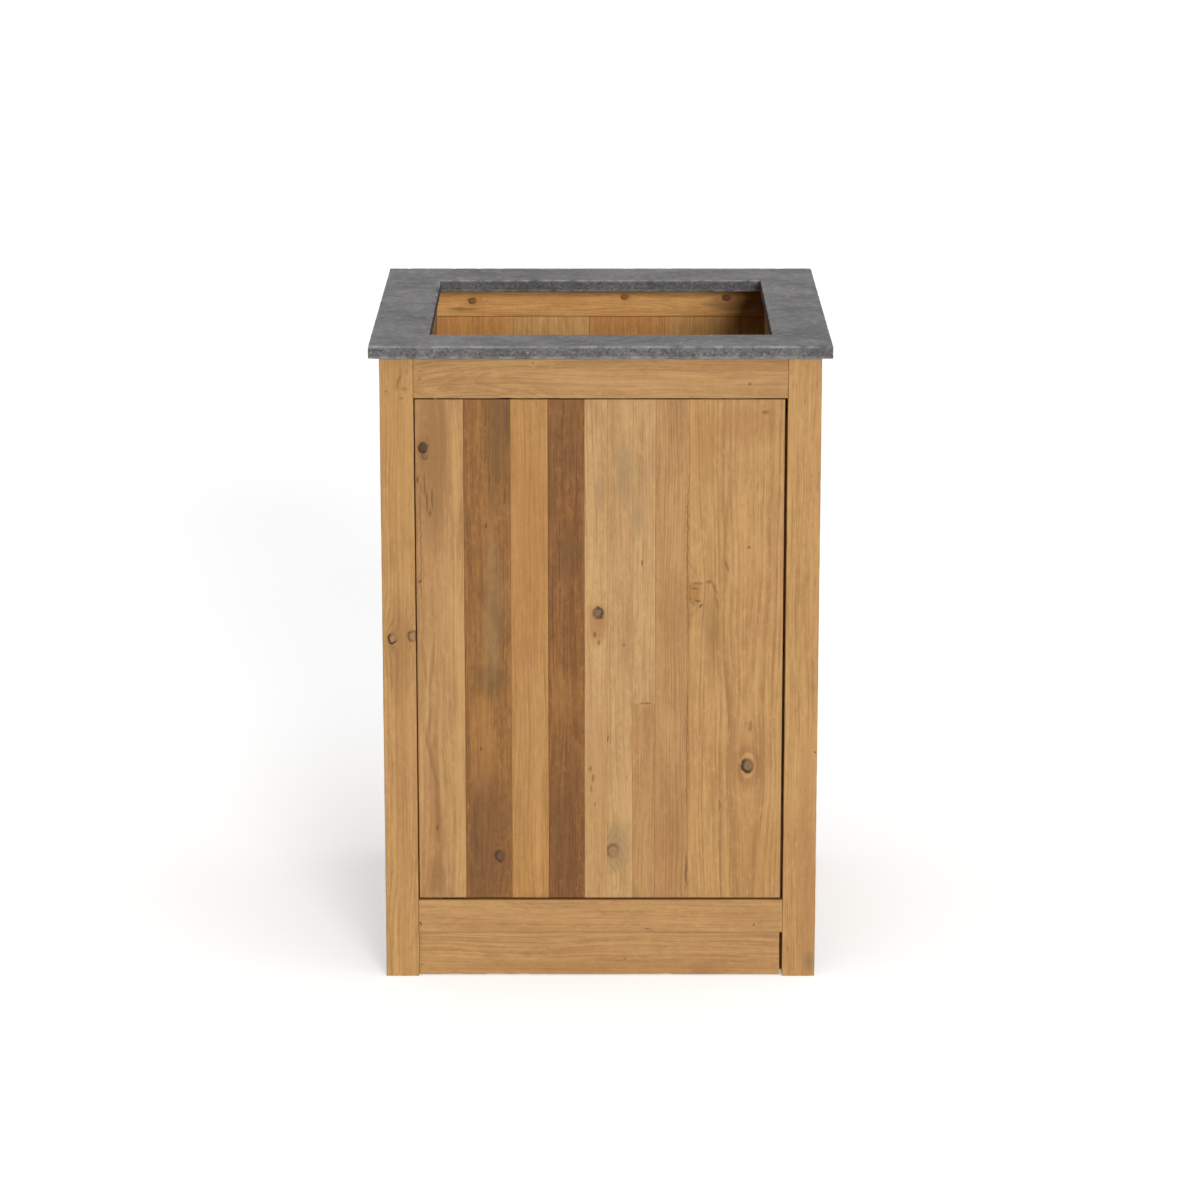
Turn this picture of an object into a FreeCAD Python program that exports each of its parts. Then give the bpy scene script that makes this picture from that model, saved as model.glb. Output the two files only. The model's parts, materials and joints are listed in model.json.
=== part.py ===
"""Kitchen sink base cabinet: pine posts and rails, plank panels, a plank door and a stone top.

Millimetres. X runs to the right seen from the front, Y to the back and Z up.
The origin is on the floor under the middle of the cabinet.
"""
import FreeCAD, Part
import os
import re
import Sketcher

# Driving dimensions: name, size and what it measures.
SIZES = [
    ("body_width", 600, "across the outer faces of the posts"),
    ("body_depth", 600, "from the front to the back of the posts"),
    ("overall_height", 900, "floor to the top of the worktop"),
    ("worktop_thickness", 18, "stone slab"),
    ("worktop_overhang", 14, "slab beyond the body on all four sides"),
    ("worktop_round", 2.5, "radius of the outer edges of the slab"),
    ("cutout_width", 466, "sink opening, left to right"),
    ("cutout_depth", 436, "sink opening, front to back"),
    ("cutout_setback", 87, "front edge of the slab to the sink opening"),
    ("cutout_round", 1.2, "radius of the upper edge of the sink opening"),
    ("post_size", 46, "square section of the posts"),
    ("arris", 1, "flat on the long edges of posts, rails and battens"),
    ("rail_thickness", 26, "all rails"),
    ("top_rail_height", 57, "front and side top rails"),
    ("rear_rail_height", 48, "rear top rail"),
    ("bottom_rail_height", 48, "all bottom rails"),
    ("bottom_rail_lift", 64, "floor to the underside of the bottom rails"),
    ("tenon_length", 26, "shoulder to end"),
    ("tenon_thickness", 9, "cheek to cheek"),
    ("tenon_shoulder", 10, "rail above and below a tenon"),
    ("tenon_end_gap", 1, "room past the end of a tenon"),
    ("glue_gap", 0.1, "clearance on each face of a glued joint"),
    ("panel_thickness", 14, "side and rear boards"),
    ("panel_setback", 5, "panel behind the outer face of the frame"),
    ("panel_housing", 8, "boards let into the frame"),
    ("panel_play", 1, "room past the boards in their grooves"),
    ("rear_board_width", 112.5, "each whole rear board"),
    ("rear_board_shift", 39, "middle of the cabinet to the middle of the whole rear boards"),
    ("tongue_length", 6, "tongue of a board"),
    ("tongue_thickness", 5, "tongue of a board"),
    ("tongue_end_gap", 0.5, "room past the end of a tongue"),
    ("bearer_thickness", 32, "battens under the worktop and under the floor"),
    ("worktop_bearer_height", 90, "batten under the worktop"),
    ("floor_bearer_height", 30, "batten under the floor"),
    ("floor_thickness", 18, "floor boards"),
    ("floor_play", 0.5, "room round each floor board"),
    ("plinth_thickness", 18, "plinth board"),
    ("plinth_recess", 4, "plinth behind the front of the posts"),
    ("plinth_lift", 1, "plinth above the floor"),
    ("plinth_end_gap", 3.5, "plinth to the right post"),
    ("plinth_block_width", 25, "corner block along the plinth"),
    ("plinth_block_cut", 9, "bevel on the free edge of a corner block"),
    ("plinth_block_height", 48, "corner block"),
    ("door_thickness", 20, "door boards"),
    ("door_recess", 4, "door behind the front of the posts"),
    ("door_hinge_gap", 1.5, "door to the left post"),
    ("door_latch_gap", 3.5, "door to the right post"),
    ("door_end_gap", 2, "door to the rails above and below"),
    ("door_board_1", 65.5, "width, counted from the hinge side"),
    ("door_board_2", 64, "width"),
    ("door_board_3", 51, "width"),
    ("door_board_4", 50, "width"),
    ("door_board_5", 31, "width"),
    ("door_board_6", 35, "width"),
    ("door_board_7", 31, "width"),
    ("door_board_8", 46, "width, and the ninth board takes up the rest"),
    ("butt_height", 280, "bottom of the door to the butt joint in its seventh board"),
    ("ledge_width", 70, "board across the back of the door"),
    ("ledge_thickness", 18, "board across the back of the door"),
    ("ledge_inset", 110, "end of the door to the nearer ledge"),
    ("ledge_end_inset", 20, "edge of the door to the end of a ledge"),
    ("hinge_setback", 28, "pivot from the hinge edge of the door"),
    ("hinge_inset", 8, "pivot behind the face of the door"),
    ("leaf_width", 12, "hinge leaf"),
    ("leaf_thickness", 2, "hinge leaf"),
    ("leaf_margin", 3.5, "end of a leaf to the edge of the first door board"),
    ("leaf_first_screw", 12, "pivot to the nearer screw"),
    ("leaf_last_screw", 7, "end of a leaf to the further screw"),
    ("pin_diameter", 5, "hinge pin"),
    ("pin_reach", 10, "hinge pin out of its leaf"),
    ("pin_play", 0.05, "radial clearance of the pin in the door leaf and washer"),
    ("pin_room", 1, "room round and past the pin in the wood"),
    ("washer_diameter", 11, "hinge washer"),
    ("washer_play", 0.1, "axial clearance of a washer"),
    ("latch_length", 72, "push latch"),
    ("latch_plate_height", 30, "fixing plate of the latch"),
    ("latch_plate_thickness", 3, "fixing plate of the latch"),
    ("latch_barrel", 13, "outer diameter of the barrel"),
    ("latch_barrel_sink", 1, "barrel into its plate"),
    ("latch_end_wall", 6, "closed end of the barrel"),
    ("latch_standoff", 4, "back of the door to the latch"),
    ("latch_drop", 20, "top of the door to the middle of the latch"),
    ("latch_screw_inset", 11, "rear end of the latch to its screws"),
    ("latch_screw_offset", 10.5, "middle of the latch to its screws"),
    ("plunger_diameter", 8, "latch plunger"),
    ("plunger_length", 40, "latch plunger"),
    ("plunger_tip", 1, "bevel at the tip of the plunger"),
    ("plunger_play", 0.1, "radial clearance of the plunger"),
    ("plunger_gap", 0.3, "plunger to the strike plate"),
    ("strike_width", 14, "strike plate"),
    ("strike_top", 8, "middle of the latch to the upper end of the strike plate"),
    ("strike_drop", 36, "middle of the latch to the lower end of the strike plate"),
    ("strike_thickness", 1.5, "strike plate"),
    ("strike_screw_inset", 6, "lower end of the strike plate to its lower screw"),
    ("strike_screw_pitch", 14, "between the screws of the strike plate"),
    ("fine_screw_diameter", 3, "screws of hinges and latch"),
    ("fine_screw_head", 5.6, "screws of hinges and latch"),
    ("fine_screw_sink", 1.3, "thickness of the head"),
    ("fine_screw_length", 16, "screws of hinges and latch"),
    ("wood_screw_diameter", 4, "screws of bearers and ledges"),
    ("wood_screw_head", 8, "screws of bearers and ledges"),
    ("wood_screw_sink", 2, "thickness of the head"),
    ("ledge_screw_length", 30, "screws of the ledges"),
    ("bearer_screw_length", 45, "screws of the bearers"),
    ("bearer_screw_pitch", 190, "between the screws of a bearer"),
    ("screw_play", 0.1, "clearance round a screw"),
]

FLOOR_BOARDS = 4
SIDE_BOARDS = 4
WHOLE_REAR_BOARDS = 3
SCREW_SIDES = 8
LEFT, RIGHT = -1, 1
FRONT, REAR = -1, 1
UP, DOWN = 1, -1

# Places and sizes that follow from the driving dimensions.
PLACES = {
    "half_width": "body_width / 2",
    "half_depth": "body_depth / 2",
    "slab_half_width": "half_width + worktop_overhang",
    "slab_half_depth": "half_depth + worktop_overhang",
    "worktop_under": "overall_height - worktop_thickness",
    "inner_x": "half_width - post_size",
    "inner_y": "half_depth - post_size",
    "rail_inner_x": "half_width - rail_thickness",
    "rail_inner_y": "half_depth - rail_thickness",
    "bottom_rail_top": "bottom_rail_lift + bottom_rail_height",
    "top_rail_under": "worktop_under - top_rail_height",
    "rear_rail_under": "worktop_under - rear_rail_height",
    "tenon_cheek": "(rail_thickness - tenon_thickness) / 2",
    "mortise_depth": "tenon_length + tenon_end_gap",
    "groove_depth": "panel_housing + panel_play",
    "panel_inset": "panel_setback + panel_thickness",
    "side_board_width": f"2 * (inner_y + panel_housing) / {SIDE_BOARDS}",
    "floor_board_width": f"2 * rail_inner_y / {FLOOR_BOARDS}",
    "floor_under": "bottom_rail_top - floor_thickness",
    "floor_half_width": "rail_inner_x - floor_play",
    "post_in_floor": "post_size - rail_thickness",
    "bearer_inner": "rail_inner_x - bearer_thickness",
    "plinth_front": "plinth_recess - half_depth",
    "plinth_back": "plinth_front + plinth_thickness",
    "door_left": "door_hinge_gap - inner_x",
    "door_right": "inner_x - door_latch_gap",
    "door_front": "door_recess - half_depth",
    "door_back": "door_front + door_thickness",
    "door_bottom": "bottom_rail_top + door_end_gap",
    "door_top": "top_rail_under - door_end_gap",
    "pivot_x": "door_left + hinge_setback",
    "pivot_y": "door_front + hinge_inset",
    "leaf_reach": "door_board_1 - hinge_setback - leaf_margin",
    "latch_axis_x": "bearer_inner - latch_plate_thickness - latch_barrel / 2 + latch_barrel_sink",
    "latch_axis_z": "door_top - latch_drop",
    "latch_front": "door_back + latch_standoff",
    "plunger_front": "door_back + strike_thickness + plunger_gap",
}

doc = FreeCAD.newDocument("KitchenBaseCabinet")
sheet = doc.addObject("Spreadsheet::Sheet", "Sizes")
for row, (alias, size, note) in enumerate(SIZES, start=1):
    sheet.set(f"A{row}", note)
    sheet.set(f"B{row}", str(size))
    sheet.setAlias(f"B{row}", alias)
doc.recompute()

pieces = []
origins = {}


# Formulas

def formula(text):
    """Spell a formula out in cells of the sheet."""
    def term(match):
        name = match.group(0)
        if name in PLACES:
            return f"({formula(PLACES[name])})"
        return f"Sizes.{name}"
    return re.sub(r"[a-z]\w*", term, text)


def value(text):
    """The present size of a formula, in millimetres."""
    return float(sheet.evalExpression(formula(text)))


def bind(target, prop, text):
    """Tie a property to a formula."""
    target.setExpression(prop, formula(text))


def reach(direction, near, far, start="0"):
    """Low and high end of a stretch that lies on one side of a start."""
    if direction > 0:
        return f"{start} + {near}", f"{start} + {far}"
    return f"{start} - ({far})", f"{start} - ({near})"


# Bodies and their features

def piece(label, x, y, z, yaw=0, grouped=False):
    """A new sub-part, or one solid of a grouped sub-part, with its origin at a place in the cabinet."""
    body = doc.addObject("PartDesign::Body", label)
    body.Label = label
    body.Placement = FreeCAD.Placement(FreeCAD.Vector(), FreeCAD.Rotation(yaw, 0, 0))
    origins[label] = (x, y, z)
    for axis, text in zip("xyz", (x, y, z)):
        bind(body, f"Placement.Base.{axis}", text)
    if not grouped:
        pieces.append(body)
    return body


def locate(feature, body, place):
    """Put a feature at a place in the cabinet, whatever the origin of its body."""
    for axis, text, origin in zip("xyz", place, origins[body.Label]):
        bind(feature, f"Placement.Base.{axis}", f"{text} - ({origin})")


def outline(body, plane, loops):
    """A sketch of closed loops of straight lines, every corner tied to its formulas."""
    sketch = body.newObject("Sketcher::SketchObject", "Outline")
    sketch.AttachmentSupport = [(next(f for f in body.Origin.OriginFeatures if f.Role == plane), "")]
    sketch.MapMode = "FlatFace"
    for loop in loops:
        first = sketch.GeometryCount
        corners = [FreeCAD.Vector(value(u), value(v), 0) for u, v in loop]
        for start, end in zip(corners, corners[1:] + corners[:1]):
            sketch.addGeometry(Part.LineSegment(start, end))
        for index, (corner, (u, v)) in enumerate(zip(corners, loop)):
            line = first + index
            following = first + (index + 1) % len(loop)
            sketch.addConstraint(Sketcher.Constraint("Coincident", line, 2, following, 1))
            for kind, size, text in (("DistanceX", corner.x, u), ("DistanceY", corner.y, v)):
                number = sketch.addConstraint(Sketcher.Constraint(kind, -1, 1, line, 1, size))
                bind(sketch, f"Constraints[{number}]", text)
    return sketch


def pad(body, plane, loops, length):
    """Extrude loops from an origin plane towards +X, +Y or +Z."""
    feature = body.newObject("PartDesign::Pad", "Pad")
    feature.Profile = outline(body, plane, loops)
    feature.Reversed = plane == "XZ_Plane"
    bind(feature, "Length", length)
    body.Tip = feature
    return feature


def block(body, kind, x, y, z):
    """Add or cut a tenon, mortise, groove or pocket between low and high limits."""
    feature = body.newObject(f"PartDesign::{kind}Box", f"{kind}Box")
    for prop, (low, high) in zip(("Length", "Width", "Height"), (x, y, z)):
        bind(feature, prop, f"({high}) - ({low})")
    locate(feature, body, (x[0], y[0], z[0]))


def turned(along):
    """The placement that turns +Z to a direction."""
    rotation = FreeCAD.Rotation(FreeCAD.Vector(0, 0, 1), FreeCAD.Vector(*along))
    return FreeCAD.Placement(FreeCAD.Vector(), rotation)


def round_bar(body, kind, start, along, radius, length):
    """Add a round bar or cut a round hole."""
    feature = body.newObject(f"PartDesign::{kind}Cylinder", f"{kind}Cylinder")
    feature.Placement = turned(along)
    bind(feature, "Radius", radius)
    bind(feature, "Height", length)
    locate(feature, body, start)


def taper(body, kind, start, along, first_radius, last_radius, length):
    """Add or cut a round tapered end."""
    feature = body.newObject(f"PartDesign::{kind}Cone", f"{kind}Cone")
    feature.Placement = turned(along)
    bind(feature, "Radius1", first_radius)
    bind(feature, "Radius2", last_radius)
    bind(feature, "Height", length)
    locate(feature, body, start)


def eased(width, height):
    """A rectangle with a small flat on each corner."""
    return [
        ("arris", "0"),
        (f"{width} - arris", "0"),
        (width, "arris"),
        (width, f"{height} - arris"),
        (f"{width} - arris", height),
        ("arris", height),
        ("0", f"{height} - arris"),
        ("0", "arris"),
    ]


def rectangle(x, y):
    """A plain rectangle between low and high limits."""
    return [(x[0], y[0]), (x[1], y[0]), (x[1], y[1]), (x[0], y[1])]


def group(label, members):
    """Several solids of one kind as one sub-part."""
    compound = doc.addObject("Part::Compound", label)
    compound.Label = label
    compound.Links = members
    pieces.append(compound)


# Screws and their holes

def screw(size, length, head, along):
    """A screw from the face of its flat head along its own direction, with flat sides for its thread."""
    cap = doc.addObject("Part::Prism", "ScrewHead")
    shank = doc.addObject("Part::Prism", "ScrewShank")
    sections = ((cap, f"{size}_screw_head", f"{size}_screw_sink"), (shank, f"{size}_screw_diameter", length))
    for solid, diameter, height in sections:
        solid.Polygon = SCREW_SIDES
        solid.Placement = turned(along)
        bind(solid, "Circumradius", f"{diameter} / 2")
        bind(solid, "Height", height)
        for axis, text in zip("xyz", head):
            bind(solid, f"Placement.Base.{axis}", text)
    whole = doc.addObject("Part::Fuse", "Screw")
    whole.Base = cap
    whole.Tool = shank
    return whole


def screw_hole(body, head, along, diameter, depth):
    """A hole that a screw's head or shank fits with its play."""
    feature = body.newObject("PartDesign::SubtractivePrism", "ScrewHole")
    feature.Polygon = SCREW_SIDES
    feature.Placement = turned(along)
    bind(feature, "Circumradius", f"{diameter} / 2 + screw_play")
    bind(feature, "Height", depth)
    locate(feature, body, head)


def headed_hole(body, size, head, along, depth):
    """The stepped hole right through the piece that a screw's head sits in."""
    screw_hole(body, head, along, f"{size}_screw_diameter", depth)
    screw_hole(body, head, along, f"{size}_screw_head", f"{size}_screw_sink")


def pilot_hole(body, size, head, along, length):
    """The blind hole that the rest of a screw goes into, measured from its head."""
    screw_hole(body, head, along, f"{size}_screw_diameter", f"{length} + screw_play")


# Frame

FRONT_RAILS = (("bottom_rail_lift", "bottom_rail_top"), ("top_rail_under", "worktop_under"))
REAR_RAILS = (("bottom_rail_lift", "bottom_rail_top"), ("rear_rail_under", "worktop_under"))
SIDE_RAILS = FRONT_RAILS


def panel_slot(direction, half):
    """Across a groove for panel boards, from the outer face of the frame inwards."""
    return reach(direction, f"{half} - panel_inset - glue_gap", f"{half} - panel_setback + glue_gap")


def tenon_slot(direction, half, clearance):
    """Across a tenon, or with a clearance across its mortise."""
    low = f"{half} - rail_thickness + tenon_cheek - {clearance}"
    return reach(direction, low, f"{half} - tenon_cheek + {clearance}")


def make_post(label, side, end):
    """A corner post with its mortises and grooves."""
    x = reach(side, "inner_x", "half_width")
    y = reach(end, "inner_y", "half_depth")
    body = piece(label, x[0], y[0], "0")
    pad(body, "XY_Plane", [eased("post_size", "post_size")], "worktop_under")
    into_x = reach(side, "inner_x", "inner_x + mortise_depth")
    into_y = reach(end, "inner_y", "inner_y + mortise_depth")
    for low, high in FRONT_RAILS if end == FRONT else REAR_RAILS:
        z = (f"{low} + tenon_shoulder - glue_gap", f"{high} - tenon_shoulder + glue_gap")
        block(body, "Subtractive", into_x, tenon_slot(end, "half_depth", "glue_gap"), z)
    for low, high in SIDE_RAILS:
        z = (f"{low} + tenon_shoulder - glue_gap", f"{high} - tenon_shoulder + glue_gap")
        block(body, "Subtractive", tenon_slot(side, "half_width", "glue_gap"), into_y, z)
    groove_foot = "bottom_rail_top - groove_depth"
    groove_y = reach(end, "inner_y", "inner_y + groove_depth")
    groove_z = (groove_foot, "top_rail_under + groove_depth")
    block(body, "Subtractive", panel_slot(side, "half_width"), groove_y, groove_z)
    if end == REAR:
        groove_x = reach(side, "inner_x", "inner_x + groove_depth")
        groove_z = (groove_foot, "rear_rail_under + groove_depth")
        block(body, "Subtractive", groove_x, panel_slot(end, "half_depth"), groove_z)


def make_cross_rail(label, end, low, high):
    """A rail from left to right with a tenon at each end."""
    y = reach(end, "rail_inner_y", "half_depth")
    body = piece(label, "-inner_x", y[0], low)
    pad(body, "YZ_Plane", [eased("rail_thickness", f"({high} - ({low}))")], "2 * inner_x")
    z = (f"{low} + tenon_shoulder", f"{high} - tenon_shoulder")
    for side in (LEFT, RIGHT):
        x = reach(side, "inner_x", "inner_x + tenon_length")
        block(body, "Additive", x, tenon_slot(end, "half_depth", "0"), z)
    return body


def make_side_rail(label, side, low, high):
    """A rail from front to back with a tenon at each end."""
    x = reach(side, "rail_inner_x", "half_width")
    body = piece(label, x[0], "-inner_y", low)
    pad(body, "XZ_Plane", [eased("rail_thickness", f"({high} - ({low}))")], "2 * inner_y")
    z = (f"{low} + tenon_shoulder", f"{high} - tenon_shoulder")
    for end in (FRONT, REAR):
        y = reach(end, "inner_y", "inner_y + tenon_length")
        block(body, "Additive", tenon_slot(side, "half_width", "0"), y, z)
    return body


def make_frame():
    """Posts and rails, with grooves for the panel boards. Returns the rails that carry other pieces."""
    for end, end_name in ((FRONT, "front"), (REAR, "rear")):
        for side, side_name in ((LEFT, "left"), (RIGHT, "right")):
            make_post(f"{end_name}_{side_name}_post", side, end)
    rails = {}
    above = ("bottom_rail_top - groove_depth", "bottom_rail_top")
    for name, (low, high) in zip(("front_bottom_rail", "front_top_rail"), FRONT_RAILS):
        rails[name] = make_cross_rail(name, FRONT, low, high)
    for name, (low, high) in zip(("rear_bottom_rail", "rear_top_rail"), REAR_RAILS):
        rail = make_cross_rail(name, REAR, low, high)
        groove_z = above if name == "rear_bottom_rail" else (low, f"{low} + groove_depth")
        block(rail, "Subtractive", ("-inner_x", "inner_x"), panel_slot(REAR, "half_depth"), groove_z)
    for side, side_name in ((LEFT, "left"), (RIGHT, "right")):
        for level, (low, high) in zip(("bottom", "top"), SIDE_RAILS):
            rail = make_side_rail(f"{side_name}_{level}_rail", side, low, high)
            groove_z = above if level == "bottom" else (low, f"{low} + groove_depth")
            block(rail, "Subtractive", panel_slot(side, "half_width"), ("-inner_y", "inner_y"), groove_z)
            rails[rail.Label] = rail
    return rails


# Boards

def tongued(width, thickness, grooved, tongue):
    """Section of a board with a groove on its first edge and a tongue on its last."""
    low = f"({thickness} - tongue_thickness) / 2"
    high = f"({thickness} + tongue_thickness) / 2"
    section = [("0", "0"), (width, "0")]
    if tongue:
        tip = f"{width} + tongue_length"
        section += [(width, low), (tip, low), (tip, high), (width, high)]
    section += [(width, thickness), ("0", thickness)]
    if grooved:
        root = "tongue_length + tongue_end_gap"
        section += [("0", f"{high} + glue_gap"), (root, f"{high} + glue_gap")]
        section += [(root, f"{low} - glue_gap"), ("0", f"{low} - glue_gap")]
    return section


def make_side_boards():
    """Upright boards between the rails of each side."""
    foot = "bottom_rail_top - panel_housing"
    length = "top_rail_under - bottom_rail_top + 2 * panel_housing"
    for name, x in (("left", "panel_inset - half_width"), ("right", "half_width - panel_setback")):
        for index in range(SIDE_BOARDS):
            y = f"{index} * side_board_width - inner_y - panel_housing"
            body = piece(f"{name}_board_{index + 1}", x, y, foot, yaw=90)
            section = tongued("side_board_width", "panel_thickness", index > 0, index < SIDE_BOARDS - 1)
            pad(body, "XY_Plane", [section], length)


def make_rear_boards():
    """Upright boards between the rear rails: whole ones in the middle and one ripped to fit at each end."""
    edge = "inner_x + panel_housing"
    first = f"rear_board_shift - {WHOLE_REAR_BOARDS} * rear_board_width / 2"
    joints = [f"{first} + {step} * rear_board_width" for step in range(WHOLE_REAR_BOARDS + 1)]
    edges = [f"-({edge})"] + joints + [edge]
    length = "rear_rail_under - bottom_rail_top + 2 * panel_housing"
    for index, (low, high) in enumerate(zip(edges, edges[1:])):
        place = (low, "half_depth - panel_inset", "bottom_rail_top - panel_housing")
        body = piece(f"rear_board_{index + 1}", *place)
        section = tongued(f"({high} - ({low}))", "panel_thickness", index > 0, high != edge)
        pad(body, "XY_Plane", [section], length)


def make_bearers(rails):
    """Battens that carry the worktop and the floor, screwed to the side rails."""
    screws = []
    bearers = {}
    for side, side_name in ((LEFT, "left"), (RIGHT, "right")):
        x = reach(side, "bearer_inner", "rail_inner_x")
        levels = (
            ("worktop", "top", "worktop_under - worktop_bearer_height", "worktop_bearer_height",
             "(top_rail_under + worktop_under) / 2"),
            ("floor", "bottom", "floor_under - floor_bearer_height", "floor_bearer_height",
             "floor_under - floor_bearer_height / 2"),
        )
        for level, rail_level, foot, height, screw_z in levels:
            body = piece(f"{side_name}_{level}_bearer", x[0], "-inner_y", foot)
            pad(body, "XZ_Plane", [eased("bearer_thickness", height)], "2 * inner_y")
            bearers[body.Label] = body
            rail = rails[f"{side_name}_{rail_level}_rail"]
            for step in (-1, 0, 1):
                head = (f"{side} * bearer_inner", f"{step} * bearer_screw_pitch", screw_z)
                along = (side, 0, 0)
                screws.append(screw("wood", "bearer_screw_length", head, along))
                headed_hole(body, "wood", head, along, "bearer_thickness")
                pilot_hole(rail, "wood", head, along, "bearer_screw_length")
    group("bearer_screws", screws)
    return bearers


def make_floor():
    """Loose floor boards, the outer two notched round the posts."""
    width = "2 * floor_half_width"
    depth = "(floor_board_width - 2 * floor_play)"
    notch = "post_in_floor"
    plain_front = [("0", "0"), (width, "0")]
    plain_rear = [(width, depth), ("0", depth)]
    notched_front = [("0", notch), (notch, notch), (notch, "0")]
    notched_front += [(f"{width} - {notch}", "0"), (f"{width} - {notch}", notch), (width, notch)]
    inside = f"{depth} - {notch}"
    notched_rear = [(width, inside), (f"{width} - {notch}", inside), (f"{width} - {notch}", depth)]
    notched_rear += [(notch, depth), (notch, inside), ("0", inside)]
    for index in range(FLOOR_BOARDS):
        y = f"{index} * floor_board_width - rail_inner_y + floor_play"
        body = piece(f"floor_board_{index + 1}", "-floor_half_width", y, "floor_under")
        front = notched_front if index == 0 else plain_front
        rear = notched_rear if index == FLOOR_BOARDS - 1 else plain_rear
        pad(body, "XY_Plane", [front + rear], "floor_thickness")


def make_plinth():
    """The board under the bottom rail and the corner blocks that hold it to the posts."""
    body = piece("plinth_board", "-inner_x", "plinth_front", "plinth_lift")
    section = eased("plinth_thickness", "(bottom_rail_lift - plinth_lift)")
    pad(body, "YZ_Plane", [section], "2 * inner_x - plinth_end_gap")
    blocks = []
    depth = "(-inner_y - (plinth_back))"
    for side, side_name in ((LEFT, "left"), (RIGHT, "right")):
        place = (f"{side} * inner_x", "plinth_back", "plinth_lift + arris")
        corner = piece(f"{side_name}_plinth_block", *place, grouped=True)
        far = f"{-side} * plinth_block_width"
        bevel = f"{-side} * (plinth_block_width - plinth_block_cut)"
        section = [("0", "0"), (far, "0"), (far, f"{depth} - plinth_block_cut"), (bevel, depth), ("0", depth)]
        pad(corner, "XY_Plane", [section], "plinth_block_height")
        blocks.append(corner)
    group("plinth_blocks", blocks)


# Door

def make_door_boards():
    """Boards of the door from the hinge side. Returns them with the middle of each."""
    widths = [f"door_board_{number}" for number in range(1, 9)]
    widths.append(f"(door_right - door_left - ({' + '.join(widths)}))")
    boards = []
    left = "door_left"
    for number, width in enumerate(widths, start=1):
        section = tongued(width, "door_thickness", number > 1, number < len(widths))
        lengths = [(f"door_board_{number}", "door_bottom", "door_top - door_bottom")]
        if number == 7:
            butt = "door_bottom + butt_height"
            lengths = [("door_board_7_lower", "door_bottom", "butt_height"),
                       ("door_board_7_upper", butt, f"door_top - ({butt})")]
        for label, foot, length in lengths:
            body = piece(label, left, "door_front", foot)
            pad(body, "XY_Plane", [section], length)
        boards.append((doc.getObject(lengths[0][0]), doc.getObject(lengths[-1][0]), f"{left} + {width} / 2"))
        left = f"{left} + {width}"
    return boards


def make_ledges(boards):
    """Two boards across the back of the door, with one screw into each door board."""
    screws = []
    levels = (("lower", 0, "door_bottom + ledge_inset"),
              ("upper", 1, "door_top - ledge_inset - ledge_width"))
    for name, which, foot in levels:
        body = piece(f"{name}_door_ledge", "door_left + ledge_end_inset", "door_back", foot)
        section = eased("ledge_thickness", "ledge_width")
        pad(body, "YZ_Plane", [section], "door_right - door_left - 2 * ledge_end_inset")
        for board in boards:
            head = (board[2], "door_back + ledge_thickness", f"{foot} + ledge_width / 2")
            along = (0, -1, 0)
            screws.append(screw("wood", "ledge_screw_length", head, along))
            headed_hole(body, "wood", head, along, "ledge_thickness")
            pilot_hole(board[which], "wood", head, along, "ledge_screw_length")
    group("ledge_screws", screws)


def leaf_shape(body, kind, face, into, clearance):
    """The flat of a hinge leaf, round at the pivot, or the pocket that it is let into."""
    half = f"leaf_width / 2 + {clearance}"
    z = reach(into, "0", "leaf_thickness", face)
    x = ("pivot_x", f"pivot_x + leaf_reach + {clearance}")
    block(body, kind, x, (f"pivot_y - ({half})", f"pivot_y + {half}"), z)
    round_bar(body, kind, ("pivot_x", "pivot_y", face), (0, 0, into), half, "leaf_thickness")


def make_hinge(name, frame_piece, frame_face, door_piece, door_face, into_frame):
    """A pivot hinge: a leaf with a pin in the rail, a leaf with a hole in the door, and a washer."""
    into_door = -into_frame
    frame_leaf = piece(f"{name}_hinge_frame_leaf", "pivot_x", "pivot_y", frame_face)
    door_leaf = piece(f"{name}_hinge_door_leaf", "pivot_x", "pivot_y", door_face)
    frame_screws, door_screws = [], []
    leaves = ((frame_leaf, frame_piece, frame_face, into_frame, frame_screws),
              (door_leaf, door_piece, door_face, into_door, door_screws))
    for leaf, wood, face, into, screws in leaves:
        leaf_shape(leaf, "Additive", face, into, "0")
        leaf_shape(wood, "Subtractive", face, into, "glue_gap")
        for offset in ("leaf_first_screw", "leaf_reach - leaf_last_screw"):
            head = (f"pivot_x + {offset}", "pivot_y", face)
            along = (0, 0, into)
            screws.append(screw("fine", "fine_screw_length", head, along))
            headed_hole(leaf, "fine", head, along, "leaf_thickness")
            pilot_hole(wood, "fine", head, along, "fine_screw_length")
    pivot = ("pivot_x", "pivot_y", frame_face)
    across = (0, 0, into_door)
    pin_hole = "pin_diameter / 2 + pin_play"
    round_bar(frame_leaf, "Additive", pivot, across, "pin_diameter / 2", "pin_reach")
    round_bar(door_leaf, "Subtractive", pivot, across, pin_hole, "pin_reach")
    round_bar(door_piece, "Subtractive", pivot, across, "pin_diameter / 2 + pin_room", "pin_reach + pin_room")
    washer_foot = f"{frame_face} + {into_door} * washer_play / 2"
    seat = ("pivot_x", "pivot_y", washer_foot)
    washer = piece(f"{name}_hinge_washer", *seat, grouped=True)
    round_bar(washer, "Additive", seat, across, "washer_diameter / 2", "door_end_gap - washer_play")
    round_bar(washer, "Subtractive", seat, across, pin_hole, "door_end_gap")
    return washer, frame_screws, door_screws


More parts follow.
